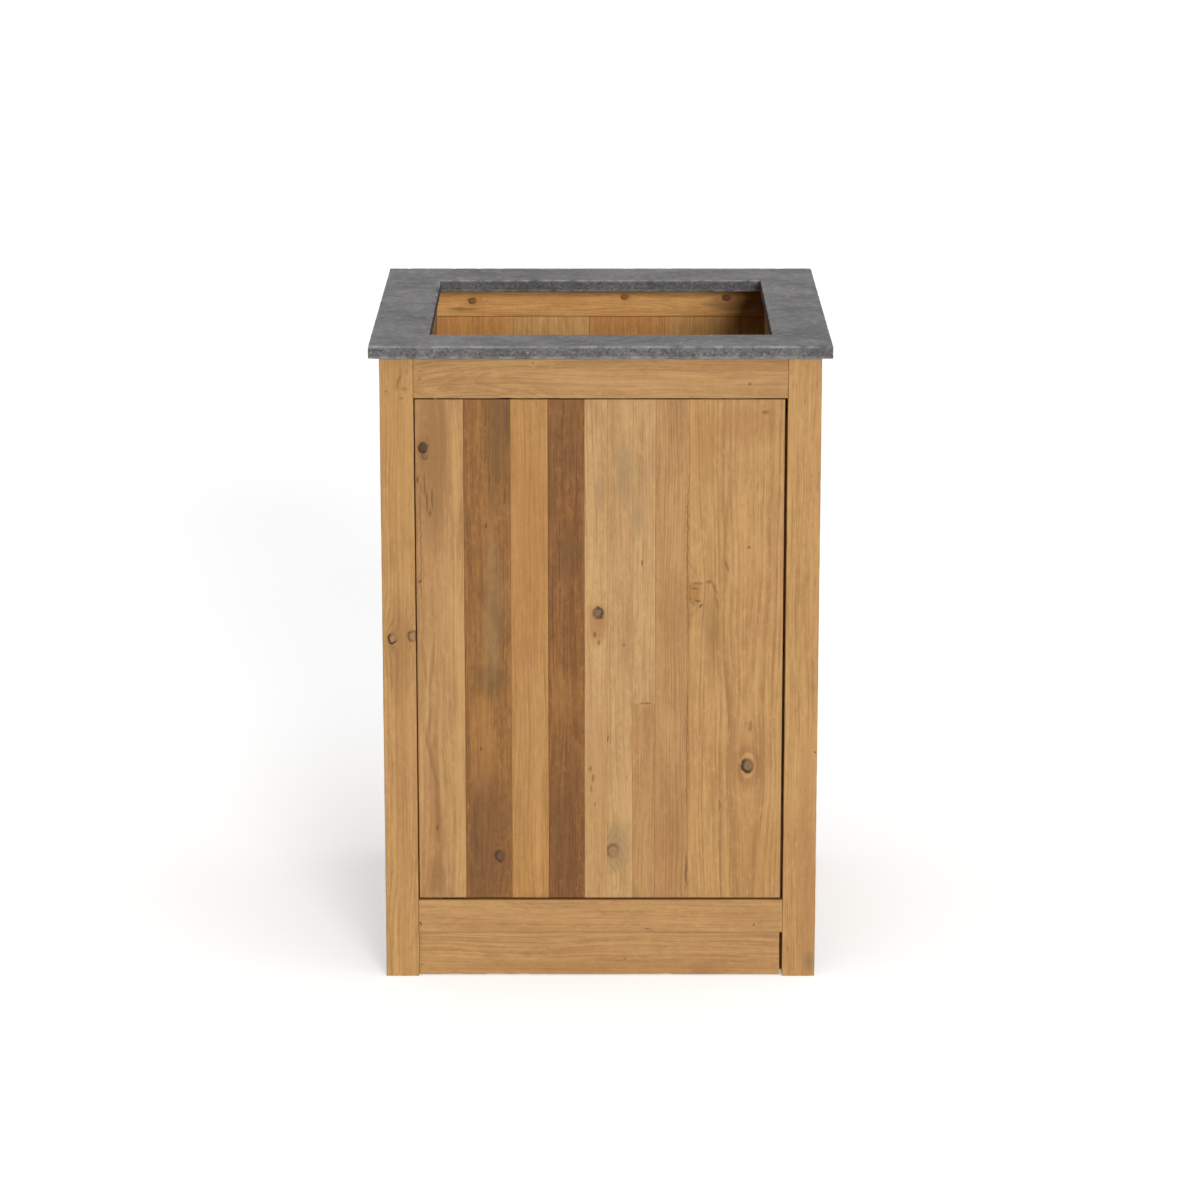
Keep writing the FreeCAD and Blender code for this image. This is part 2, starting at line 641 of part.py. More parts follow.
def make_latch(bearer, door_piece):
    """Push latch on the right bearer and its strike plate on the door."""
    housing = piece("latch_housing", "bearer_inner", "latch_front", "latch_axis_z")
    half = "latch_plate_height / 2"
    back = (0, 1, 0)
    axis_start = ("latch_axis_x", "latch_front", "latch_axis_z")
    block(housing, "Additive", ("bearer_inner - latch_plate_thickness", "bearer_inner"),
          ("latch_front", "latch_front + latch_length"),
          (f"latch_axis_z - {half}", f"latch_axis_z + {half}"))
    round_bar(housing, "Additive", axis_start, back, "latch_barrel / 2", "latch_length")
    round_bar(housing, "Subtractive", axis_start, back, "plunger_diameter / 2 + plunger_play",
              "latch_length - latch_end_wall")
    housing_screws = []
    for direction in (DOWN, UP):
        head = ("bearer_inner - latch_plate_thickness", "latch_front + latch_length - latch_screw_inset",
                f"latch_axis_z + {direction} * latch_screw_offset")
        outwards = (1, 0, 0)
        housing_screws.append(screw("fine", "fine_screw_length", head, outwards))
        headed_hole(housing, "fine", head, outwards, "latch_plate_thickness")
        pilot_hole(bearer, "fine", head, outwards, "fine_screw_length")
    plunger = piece("latch_plunger", "latch_axis_x", "plunger_front", "latch_axis_z")
    tip = ("latch_axis_x", "plunger_front", "latch_axis_z")
    shank = ("latch_axis_x", "plunger_front + plunger_tip", "latch_axis_z")
    radius = "plunger_diameter / 2"
    taper(plunger, "Additive", tip, back, f"{radius} - plunger_tip", radius, "plunger_tip")
    round_bar(plunger, "Additive", shank, back, radius, "plunger_length - plunger_tip")
    strike = piece("latch_strike_plate", "latch_axis_x", "door_back", "latch_axis_z")
    block(strike, "Additive", ("latch_axis_x - strike_width / 2", "latch_axis_x + strike_width / 2"),
          ("door_back", "door_back + strike_thickness"),
          ("latch_axis_z - strike_drop", "latch_axis_z + strike_top"))
    strike_screws = []
    for step in (0, 1):
        height = f"latch_axis_z - strike_drop + strike_screw_inset + {step} * strike_screw_pitch"
        head = ("latch_axis_x", "door_back + strike_thickness", height)
        forwards = (0, -1, 0)
        strike_screws.append(screw("fine", "fine_screw_length", head, forwards))
        headed_hole(strike, "fine", head, forwards, "strike_thickness")
        pilot_hole(door_piece, "fine", head, forwards, "fine_screw_length")
    return housing_screws, strike_screws


# Worktop

def make_worktop():
    """The stone slab with its sink opening, round on its outer edges and on the rim of the opening."""
    width, depth = "2 * slab_half_width", "2 * slab_half_depth"
    body = piece("worktop", "-slab_half_width", "-slab_half_depth", "worktop_under")
    left = "slab_half_width - cutout_width / 2"
    opening = rectangle((left, f"{left} + cutout_width"), ("cutout_setback", "cutout_setback + cutout_depth"))
    slab = pad(body, "XY_Plane", [rectangle(("0", width), ("0", depth)), opening], "worktop_thickness")

    def on_outline(middle):
        across = (middle.x, middle.y, middle.x - value(width), middle.y - value(depth))
        return min(abs(distance) for distance in across) < value("worktop_round")

    def on_rim(middle):
        return not on_outline(middle) and middle.z > value("worktop_thickness - cutout_round")

    rounded = slab
    for name, chosen, radius in (("Rim", on_rim, "cutout_round"), ("Outer", on_outline, "worktop_round")):
        doc.recompute()
        numbered = enumerate(rounded.Shape.Edges, start=1)
        edges = [f"Edge{number}" for number, edge in numbered if chosen(edge.CenterOfMass)]
        fillet = body.newObject("PartDesign::Fillet", f"{name}Edges")
        fillet.Base = (rounded, edges)
        bind(fillet, "Radius", radius)
        rounded = fillet


# Assembly

def main():
    """Build the cabinet, check it and write each sub-part to its own file."""
    make_worktop()
    rails = make_frame()
    make_side_boards()
    make_rear_boards()
    bearers = make_bearers(rails)
    make_floor()
    make_plinth()
    boards = make_door_boards()
    make_ledges(boards)
    first_board = boards[0][0]
    last_board = boards[-1][0]
    upper_rail, lower_rail = rails["front_top_rail"], rails["front_bottom_rail"]
    top = make_hinge("top", upper_rail, "top_rail_under", first_board, "door_top", UP)
    bottom = make_hinge("bottom", lower_rail, "bottom_rail_top", first_board, "door_bottom", DOWN)
    housing_screws, strike_screws = make_latch(bearers["right_worktop_bearer"], last_board)
    group("hinge_washers", [top[0], bottom[0]])
    group("frame_fine_screws", top[1] + bottom[1] + housing_screws)
    group("door_fine_screws", top[2] + bottom[2] + strike_screws)
    doc.recompute()
    failed = [item.Name for item in doc.Objects if {"Invalid", "Error"} & set(item.State)]
    unsound = [item.Label for item in pieces if item.Shape.isNull() or not item.Shape.isValid()]
    if failed or unsound:
        raise RuntimeError(f"failed features: {failed}; unsound sub-parts: {unsound}")
    os.makedirs("parts", exist_ok=True)
    for item in pieces:
        item.Shape.exportStep(f"parts/{item.Label}.step")
    print(len(pieces), "sub-parts written")


main()
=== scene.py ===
"""Looks of a sink base cabinet in reclaimed pine under a stone worktop.

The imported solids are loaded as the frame. A worn copy with its own grain stands for each wooden solid,
a slab with pitted edges for the worktop, and turned screws with slotted heads for the plain ones.
"""

import json
import math
import random
from typing import NamedTuple

import bmesh
import bpy
import numpy as np
from bpy.props import FloatProperty, FloatVectorProperty, PointerProperty
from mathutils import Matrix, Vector, noise

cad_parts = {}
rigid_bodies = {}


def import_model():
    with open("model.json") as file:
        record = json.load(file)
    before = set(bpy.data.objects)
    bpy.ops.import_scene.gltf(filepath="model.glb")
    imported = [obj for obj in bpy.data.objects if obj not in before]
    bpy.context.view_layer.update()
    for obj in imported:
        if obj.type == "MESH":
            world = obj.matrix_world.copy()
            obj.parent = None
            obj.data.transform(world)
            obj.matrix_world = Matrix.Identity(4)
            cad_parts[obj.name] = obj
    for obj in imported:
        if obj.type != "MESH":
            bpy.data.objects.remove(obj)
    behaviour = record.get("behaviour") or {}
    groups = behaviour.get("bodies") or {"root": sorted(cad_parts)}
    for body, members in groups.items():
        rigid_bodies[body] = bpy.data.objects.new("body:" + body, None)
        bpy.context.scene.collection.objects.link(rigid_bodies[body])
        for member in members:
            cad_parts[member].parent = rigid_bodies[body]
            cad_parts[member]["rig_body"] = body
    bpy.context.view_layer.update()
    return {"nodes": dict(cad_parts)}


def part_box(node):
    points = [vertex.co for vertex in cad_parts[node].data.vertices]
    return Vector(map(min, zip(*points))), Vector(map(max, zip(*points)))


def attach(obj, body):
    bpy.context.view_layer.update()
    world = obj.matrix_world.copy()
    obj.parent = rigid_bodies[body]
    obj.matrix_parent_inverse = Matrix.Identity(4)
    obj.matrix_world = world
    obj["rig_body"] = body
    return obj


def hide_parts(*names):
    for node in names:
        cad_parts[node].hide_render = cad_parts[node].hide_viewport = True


bl_info = {
    "name": "Reclaimed Pine Sink Base",
    "version": (1, 0, 0),
    "blender": (4, 5, 0),
    "location": "3D View > Sidebar > Cabinet",
    "description": "Dresses a packed sink base cabinet in worn pine, stone, brass and steel",
    "category": "Object",
}

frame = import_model()

# The main light and the top light shine from these places; the top one fills this angle in radians.
KEY_PLACE = (1.0, -3.9, 0.9)
TOP_PLACE = (0.3, -0.8, 4.0)
TOP_SPREAD = 1.3
FLOOR_GLOW = 0.42
FLOOR_RADIUS = 45.0
SENSOR_WIDTH = 36.0
# Distance that a height of one stands for in the bumps of each finish.
PINE_BUMP = 0.0012
STONE_BUMP = 0.0011
METAL_BUMP = 0.00008
PLASTIC_BUMP = 0.0002
FLOOR_BUMP = 0.0001
# Tones are as seen on the stage; this share of one is the wood's own colour.
WOOD_SHARE = 0.645

# Pine by its age and the part of the log, from pale to dark.
SAWN = "d0a876"
STRAW = "c49c68"
HONEY = "c2965c"
TAN = "bc905a"
AMBER = "ba8a4c"
UMBER = "9a6a30"
SMOKED = "8e5e28"
# The back stands in the slab's shadow, so its pine gets brighter tones than its own: painted light that lifts
# it out of the shade.
REAR_RAIL_BRIGHTENED_TONE = "ffc070"
REAR_BRIGHTENED_TONES = ("f4b064", "ffc67c", "f0ac62", "fabe72", "f2b268")
# Stains, dents and the two tones of a knot.
CHAFF = "cca262"
SAP = "b07c3c"
RUST = "a06c3a"
TEA = "8a602e"
SOOT = "60421c"
BISTRE = "5e3818"
ASH = "967c54"
SMUT = "74624c"
DENT = "5a3a20"
PALE_HEART = "a67c4e"
GREY_HEART = "84653e"
BROWN_HEART = "6e482a"
DEAD_HEART = "462e1c"
BROWN_BARK = "5c3e22"
DARK_BARK = "42260f"
BLACK = (0.0, 0.0, 0.0, 1.0)

MM = 0.001
X, Y, Z = 0, 1, 2
# Grain, then the way across the main face, then the way into it.
UPRIGHT_FRONT = (Z, X, Y)
UPRIGHT_SIDE = (Z, Y, X)
LEVEL_FRONT = (X, Z, Y)
LEVEL_SIDE = (Y, Z, X)
LYING = (X, Y, Z)


def by_axis(main, along, across):
    """A value for each axis, one along the main axis and one across it."""
    return tuple(along if axis == main else across for axis in (X, Y, Z))


def shade(colour, *scale):
    """A linear colour scaled by one number or by channel."""
    return tuple(c * s for c, s in zip(colour[:3], scale * 3)) + (1.0,)


def linear(tone, scale=(1.0,)):
    """The linear colour of a screen tone in six hex digits, scaled by channel."""
    channels = [int(tone[i : i + 2], 16) / 255 for i in (0, 2, 4)]
    light = [c / 12.92 if c <= 0.04045 else ((c + 0.055) / 1.055) ** 2.4 for c in channels]
    return shade(light, *scale)


def wood(tone, scale=(1.0,)):
    """The own colour of wood that looks like a screen tone on the stage, scaled by channel."""
    return linear(tone, [WOOD_SHARE * s for s in scale])


class PineSettings(bpy.types.PropertyGroup):
    """Sizes and finish of the old pine."""

    ring_width: FloatProperty(
        name="Ring width", description="Mean width of a year ring", default=0.0031, unit="LENGTH")
    contrast: FloatProperty(
        name="Grain contrast", description="Strength of the late wood lines", default=1.0, min=0.0, max=2.0)
    arris: FloatProperty(
        name="Frame arris", description="Rounding of the flats along posts and rails", default=0.0004,
        unit="LENGTH")
    joint: FloatProperty(
        name="Board arris", description="Rounding of the arrises of boards", default=0.0002, unit="LENGTH")
    wear: FloatProperty(
        name="Wear", description="Depth of the deepest dents along an arris", default=0.0009, unit="LENGTH")
    gloss: FloatProperty(
        name="Roughness", description="Mean roughness of the waxed face", default=0.5, min=0.0, max=1.0)


class StoneSettings(bpy.types.PropertyGroup):
    """Colour and edge of the worktop's stone."""

    body: FloatVectorProperty(
        name="Stone", description="Main colour of the stone", subtype="COLOR", size=4, min=0.0, max=1.0,
        default=linear("7b7979"))
    fleck: FloatVectorProperty(
        name="Flecks", description="Colour of the pale grains", subtype="COLOR", size=4, min=0.0, max=1.0,
        default=linear("a4a3a0"))
    pits: FloatProperty(
        name="Pits", description="Depth of the deepest pits in the edges", default=0.0016, unit="LENGTH")
    rounding: FloatProperty(
        name="Edge rounding", description="Radius of the slab's arrises", default=0.002, unit="LENGTH")


class FittingSettings(bpy.types.PropertyGroup):
    """Colours of hinges, screws and latch."""

    brass: FloatVectorProperty(
        name="Brass", description="Colour of the hinge leaves", subtype="COLOR", size=4, min=0.0, max=1.0,
        default=linear("7d6640"))
    steel: FloatVectorProperty(
        name="Steel", description="Colour of the plated steel", subtype="COLOR", size=4, min=0.0, max=1.0,
        default=linear("c4c3be"))
    plastic: FloatVectorProperty(
        name="Plastic", description="Colour of the latch housing", subtype="COLOR", size=4, min=0.0, max=1.0,
        default=linear("4a4743"))


class StageSettings(bpy.types.PropertyGroup):
    """Camera, floor and light."""

    place: FloatVectorProperty(
        name="Camera place", description="Where the camera stands", subtype="XYZ", unit="LENGTH",
        default=(-0.0008, -5.9314, 1.9552))
    pitch: FloatProperty(
        name="Camera pitch", description="How far the camera looks down", subtype="ANGLE", default=0.2456)
    lens: FloatProperty(
        name="Focal length", description="Focal length of the camera in millimetres", default=127.0)
    floor: FloatVectorProperty(
        name="Floor", description="Colour of the floor", subtype="COLOR", size=4, min=0.0, max=1.0,
        default=(0.76, 0.76, 0.76, 1.0))
    sky: FloatProperty(
        name="Ambient light", description="Strength of the even light all round", default=0.2, min=0.0)
    key: FloatProperty(
        name="Main light", description="Strength of the light from the right", default=2.45, min=0.0)
    top: FloatProperty(
        name="Top light", description="Strength of the wide light from above", default=2.15, min=0.0)
    softness: FloatProperty(
        name="Softness", description="Angle the main light takes up in the sky", subtype="ANGLE", default=0.3)


class Wire:
    """An output of a node. Sums on it add Math nodes to the same material."""

    def __init__(self, socket):
        self.socket = socket

    def node(self, kind, settings, inputs, output=0):
        """Adds a node of any type with its settings, then its inputs, and gives one of its outputs."""
        tree = self.socket.id_data
        made = tree.nodes.new(kind)
        made.location = (len(tree.nodes) // 8 * 180, len(tree.nodes) % 8 * -190)
        for name, value in settings.items():
            setattr(made, name, value)
        for name, value in inputs.items():
            if isinstance(value, Wire):
                tree.links.new(value.socket, made.inputs[name])
            else:
                made.inputs[name].default_value = value
        return Wire(made.outputs[output]) if made.outputs else None

    def other(self, output):
        """Another output of the same node."""
        return Wire(self.socket.node.outputs[output])

    def maths(self, operation, *terms):
        """A Math node on values or numbers."""
        return self.node("ShaderNodeMath", {"operation": operation}, dict(enumerate(terms)))

    def __add__(self, term):
        return self.maths("ADD", self, term)

    __radd__ = __add__

    def __sub__(self, term):
        return self.maths("SUBTRACT", self, term)

    def __rsub__(self, term):
        return self.maths("SUBTRACT", term, self)

    def __mul__(self, term):
        return self.maths("MULTIPLY", self, term)

    __rmul__ = __mul__

    def __truediv__(self, term):
        return self.maths("DIVIDE", self, term)

    def __rtruediv__(self, term):
        return self.maths("DIVIDE", term, self)

    def __pow__(self, power):
        return self.maths("POWER", self, power)

    def __rpow__(self, base):
        return self.maths("POWER", base, self)

    def rise(self, low, high):
        """A smooth step from 0 at low to 1 at high, which may be the lower one."""
        return self.node("ShaderNodeMapRange", {"interpolation_type": "SMOOTHSTEP"},
                         {"Value": self, "From Min": low, "From Max": high})

    def fade(self, reach):
        """A bell that is 1 where this squared distance is 0 and falls off over the reach."""
        return math.e ** (self * (-1.0 / reach**2))

    def cloud(self, detail, rough=0.5):
        """Fractal noise at this point, as a value, with its colour as another output."""
        return self.node("ShaderNodeTexNoise", {}, {"Vector": self, "Scale": 1.0, "Detail": detail,
                                                    "Roughness": rough})

    def channels(self):
        """The red channel of a cloud's colour, with green and blue as other outputs."""
        return self.node("ShaderNodeSeparateColor", {}, {"Color": self.other("Color")})

    def stretch(self, scale, shift):
        """This point scaled and shifted by axis."""
        return self.node("ShaderNodeVectorMath", {"operation": "MULTIPLY_ADD"},
                         {0: self, 1: scale, 2: shift})

    def between(self, first, second):
        """The colour that runs from the first one to the second as this value runs from 0 to 1."""
        return self.node("ShaderNodeMix", {"data_type": "RGBA"}, {0: self, 6: first, 7: second}, 2)

    def tint(self, factor, colour):
        """This colour with another laid over it."""
        return factor.between(self, colour)


def new_material(name):
    """A bare material, and the place on its object's surface to start from."""
    material = bpy.data.materials.new(name)
    material.use_nodes = True
    material.node_tree.nodes.clear()
    start = material.node_tree.nodes.new("ShaderNodeTexCoord")
    return material, Wire(start.outputs["Object"])


def painted(place, name):
    """The value that a mesh carries at this place."""
    return place.node("ShaderNodeAttribute", {"attribute_name": name}, {}, "Fac")


def surface(place, colour, rough, height, depth, constants):
    """Ends a material in its shader, with the height in units of depth as bumps."""
    bump = place.node("ShaderNodeBump", {}, {"Strength": 1.0, "Distance": depth, "Height": height})
    values = {"Base Color": colour, "Roughness": rough, "Normal": bump} | constants
    shader = place.node("ShaderNodeBsdfPrincipled", {}, values)
    place.node("ShaderNodeOutputMaterial", {}, {"Surface": shader})


class Knot(NamedTuple):
    """A knot: place and radius in mm, its tones, swell of the rings and the bark's heavy side in radians."""

    across: float
    along: float
    radius: float
    heart: str = BROWN_HEART
    bark: str = DARK_BARK
    ring: float = 0.8
    swell: float = 9.0
    tall: float = 1.15
    halo: float = 0.45
    side: float = 3.6


class Mark(NamedTuple):
    """A dent, crack or stain: its place, half width and half length in mm, strength, tone and lean."""

    across: float
    along: float
    width: float
    length: float
    strength: float
    tone: str = DENT
    lean: float = 0.0


class Timber(NamedTuple):
    """How a piece was cut from its log, with the pith in mm from its middle, and what marks its faces."""

    tone: str
    pith: tuple = (80.0, 45.0)
    taper: float = 0.02
    rings: float = 0.5
    figure: float = 1.0
    streaks: float = 0.35
    smoke: float = 0.15
    dirt: float = 0.0
    fibres: float = 1.0
    ring_scale: float = 1.0
    knots: tuple = ()
    dents: tuple = ()
    stains: tuple = ()


class Layer(NamedTuple):
    """Noise that lies along the grain: its length and width in mm, detail, roughness and height."""

    length: float
    width: float
    detail: float
    rough: float
    lift: float = 0.0


class Tint(NamedTuple):
    """A tone laid over wood where a layer goes from low to high, and the timber's value that scales it."""

    layer: str
    low: float
    high: float
    strength: float
    scale: tuple
    value: str = ""


LAYERS = {
    "fibre": Layer(150.0, 1.2, 2.0, 0.6, 0.16),
    "streak": Layer(380.0, 8.0, 2.0, 0.55),
    "blotch": Layer(120.0, 38.0, 4.0, 0.66, 0.25),
    "thread": Layer(130.0, 3.4, 3.0, 0.65, -0.08),
    "mottle": Layer(15.0, 6.0, 4.0, 0.74, -0.06),
}
UNDER_RINGS = (
    Tint("streak", 0.50, 0.80, 1.0, (0.58, 0.50, 0.42), "streaks"),
    Tint("streak", 0.48, 0.22, 0.6, (1.14, 1.16, 1.20)),
)
OVER_RINGS = (
    Tint("fibre", 0.45, 0.78, 0.62, (0.58, 0.49, 0.41), "fibres"),
    Tint("fibre", 0.45, 0.20, 0.50, (1.24, 1.25, 1.27), "fibres"),
    Tint("thread", 0.50, 0.72, 0.38, (0.56, 0.47, 0.38), "fibres"),
    Tint("thread", 0.48, 0.28, 0.42, (1.28, 1.30, 1.32), "fibres"),
    Tint("mottle", 0.50, 0.70, 0.38, (0.62, 0.54, 0.46), "fibres"),
    Tint("mottle", 0.49, 0.30, 0.46, (1.22, 1.23, 1.24), "fibres"),
    Tint("blotch", 0.48, 0.24, 0.6, (1.10, 1.11, 1.14)),
    Tint("blotch", 0.50, 0.74, 1.0, (0.54, 0.49, 0.42), "smoke"),
)
LEAST_SMOKE = 0.18
# Scales by channel that lead from a timber's tone to the tones of its parts.
WARM_PINE = (1.05, 1.03, 0.94)
ROSY_PINE = (0.98, 0.91, 0.86)
LATE_WOOD = (0.58, 0.46, 0.35)
KNOT_HALO = (0.70, 0.54, 0.39)
# Tone of the band along the long edges: dirt and painted shade between the parts.
EDGE_DIRT_AND_SHADE_TONE = (0.45, 0.36, 0.28)
# Tone of the worn arrises: bared pale wood and a painted highlight.
WORN_PALE_AND_HIGHLIGHT = (1.15, 1.12, 1.06)
# Bends of the log, ragged outlines of marks and the change of the rings' width, all in mm.
BEND_LENGTH, BEND_WIDTH = 240.0, 85.0
SWAY_ACROSS, SWAY_DEEP = 16.0, 14.0
RAGGED_ACROSS, RAGGED_ALONG = 5.0, 7.0
PACE_LENGTH, PACE_SWING = 21.0, 16.0
# How far a knot bends the grain, lifts the rings and darkens the wood, in its own radii.
BEND_REACH, SWELL_REACH, HALO_REACH = 2.4, 1.6, 1.8
# How much longer the first two are along the grain.
BEND_STRETCH, SWELL_STRETCH = 3.2, 1.5


def square(wide, high):
    """Squared distance from the middle of a spot."""
    return wide * wide + high * high


def oval(across, along, spot):
    """Squared distance from a spot in its own half sizes."""
    wide = (across - spot.across - (along - spot.along) * spot.lean) / spot.width
    return square(wide, (along - spot.along) / spot.length)


def tinted(colour, tints, layers, timber):
    """A colour of wood with the tints of some layers laid over it."""
    values = {"": 1.0, "streaks": timber.streaks, "fibres": timber.fibres,
              "smoke": timber.smoke + LEAST_SMOKE}
    for tint in tints:
        share = layers[tint.layer].rise(tint.low, tint.high) * (tint.strength * values[tint.value])
        colour = colour.tint(share, wood(timber.tone, tint.scale))
    return colour


def bent_round(knots, along, across, flow):
    """The way across the grain as it flows round knots, the swell of the rings and how bold they are."""
    swell = 0.0
    bold = 1.0
    for knot in knots:
        wide = across - knot.across
        rise = along - knot.along
        hump = square(wide, rise / (knot.tall * BEND_STRETCH)).fade(knot.radius * BEND_REACH)
        flow = flow - wide * hump * 0.8
        whirl = square(wide, rise / (knot.tall * SWELL_STRETCH)).fade(knot.radius * SWELL_REACH)
        swell = whirl * knot.swell + swell
        bold = hump * 0.45 + bold
    return flow, swell, bold


def late_wood(radius, ring_width, start):
    """The late wood of year rings at a radius in mm, with wide years and narrow ones."""
    pace = radius.node("ShaderNodeTexNoise", {"noise_dimensions": "1D"},
                       {"W": radius / PACE_LENGTH + start, "Scale": 1.0, "Detail": 1.0}).channels()
    ring = (radius + (pace - 0.5) * PACE_SWING) / ring_width
    part = ring.maths("FRACT", ring)
    return (part.rise(0.25, 0.9) - part.rise(0.9, 1.0)) * pace.other("Green").rise(0.25, 0.7)


def knotted(colour, height, knot, tone, wide, high, grit):
    """The colour and height of wood with a knot in it: halo, heart with its own rings, and bark."""
    near = square(wide, high)
    reach = near**0.5 / knot.radius
    colour = colour.tint(near.fade(knot.radius * HALO_REACH) * knot.halo, wood(tone, KNOT_HALO))
    core = reach.rise(1.18, 0.72)
    colour = colour.tint(core * 0.92, wood(knot.heart))
    years = reach.maths("SINE", reach * 13.0).rise(-0.5, 1.0) * grit.other("Blue").rise(0.3, 0.7)
    colour = colour.tint(core * years * 0.55, wood(knot.bark))
    lean = (wide * math.cos(knot.side) + high * math.sin(knot.side)) / knot.radius
    rim = reach.rise(0.5, 0.86) * reach.rise(1.34, 0.98) * (lean.rise(-0.9, 0.5) * 0.75 + 0.25)
    colour = colour.tint(rim * knot.ring, wood(knot.bark))
    return colour, height + core * 0.15 - rim * 0.3


def pine(name, timber, grain, box):
    """Solid pine: year rings round a wandering pith, fibres, streaks, knots, stains and dents."""
    settings = bpy.context.scene.cabinet_pine
    draw = random.Random(name)
    tone = timber.tone
    material, place = new_material(name)
    axes = place.node("ShaderNodeSeparateXYZ", {}, {"Vector": place})
    along, across, deep = (axes.other("XYZ"[axis]) * (1 / MM) for axis in grain)
    middle = [(low + high) / 2 / MM for low, high in zip(*box)]

    def seed():
        return tuple(draw.uniform(-50.0, 50.0) for _ in range(3))

    bends = by_axis(grain[0], 1 / MM / BEND_LENGTH, 1 / MM / BEND_WIDTH)
    sway = place.stretch(bends, seed()).cloud(1.5).channels()
    flow = across + (sway - 0.5) * (SWAY_ACROSS * timber.figure)
    inward = deep + (sway.other("Green") - 0.5) * (SWAY_DEEP * timber.figure) + along * timber.taper
    grit = place.stretch((150.0, 150.0, 150.0), seed()).cloud(3.0, 0.55).channels()
    loose_across = across + (grit - 0.5) * RAGGED_ACROSS
    loose_along = along + (grit.other("Green") - 0.5) * RAGGED_ALONG

    flow, swell, bold = bent_round(timber.knots, along, across, flow)
    pith_across = middle[grain[1]] + timber.pith[0]
    pith_deep = middle[grain[2]] + timber.pith[1] + timber.taper * middle[grain[0]]
    radius = square(flow - pith_across, inward - pith_deep) ** 0.5 + swell
    late = late_wood(radius, settings.ring_width * timber.ring_scale / MM, draw.uniform(0.0, 90.0))

    lay = place.node("ShaderNodeCombineXYZ", {}, {"X": along, "Y": flow, "Z": deep})
    layers = {}
    height = late * 0.10
    for key, layer in LAYERS.items():
        size = (1 / layer.length, 1 / layer.width, 1 / layer.width)
        layers[key] = lay.stretch(size, seed()).cloud(layer.detail, layer.rough)
        if layer.lift:
            height = height + layers[key] * layer.lift
    fibre, streak, blotch, thread = (layers[key] for key in ("fibre", "streak", "blotch", "thread"))

    colour = sway.other("Blue").rise(0.36, 0.64).between(wood(tone, WARM_PINE), wood(tone, ROSY_PINE))
    colour = tinted(colour, UNDER_RINGS, layers, timber)
    colour = colour.tint(late * bold * (timber.rings * settings.contrast), wood(tone, LATE_WOOD))
    colour = tinted(colour, OVER_RINGS, layers, timber)
    for stain in timber.stains:
        ragged = (blotch - 0.5) * 1.8 + (streak - 0.5) * 2.2 + (thread - 0.5) * 1.2
        mask = (oval(across, along, stain) + ragged).rise(1.7, -0.3)
        colour = colour.tint(mask * stain.strength, wood(stain.tone))
    for knot in timber.knots:
        wide = loose_across - knot.across
        high = (loose_along - knot.along) / knot.tall
        colour, height = knotted(colour, height, knot, tone, wide, high, grit)
    for dent in timber.dents:
        cut = (oval(loose_across, loose_along, dent) + (fibre - 0.5) * 1.3).rise(1.25, 0.1)
        colour = colour.tint(cut * dent.strength, wood(dent.tone))
        height = height - cut * 0.4
    # Darker along the long edges across the grain: dirt in the joints and painted shade where the parts meet.
    if timber.dirt:
        low, high = (corner[grain[1]] / MM for corner in box)
        edge = place.maths("MINIMUM", across - low, high - across) + (blotch - 0.5) * 3.0
        colour = colour.tint(edge.rise(1.7, 0.2) * timber.dirt, wood(tone, EDGE_DIRT_AND_SHADE_TONE))
    # Paler where the arrises are worn: bared pale wood and a painted highlight along the edges.
    colour = colour.tint(painted(place, "worn") * 0.4, wood(tone, WORN_PALE_AND_HIGHLIGHT))
    rough = fibre * 0.22 + blotch * 0.12 + (settings.gloss - 0.17)
    surface(place, colour, rough, height, PINE_BUMP, {"Specular IOR Level": 0.25})
    return material


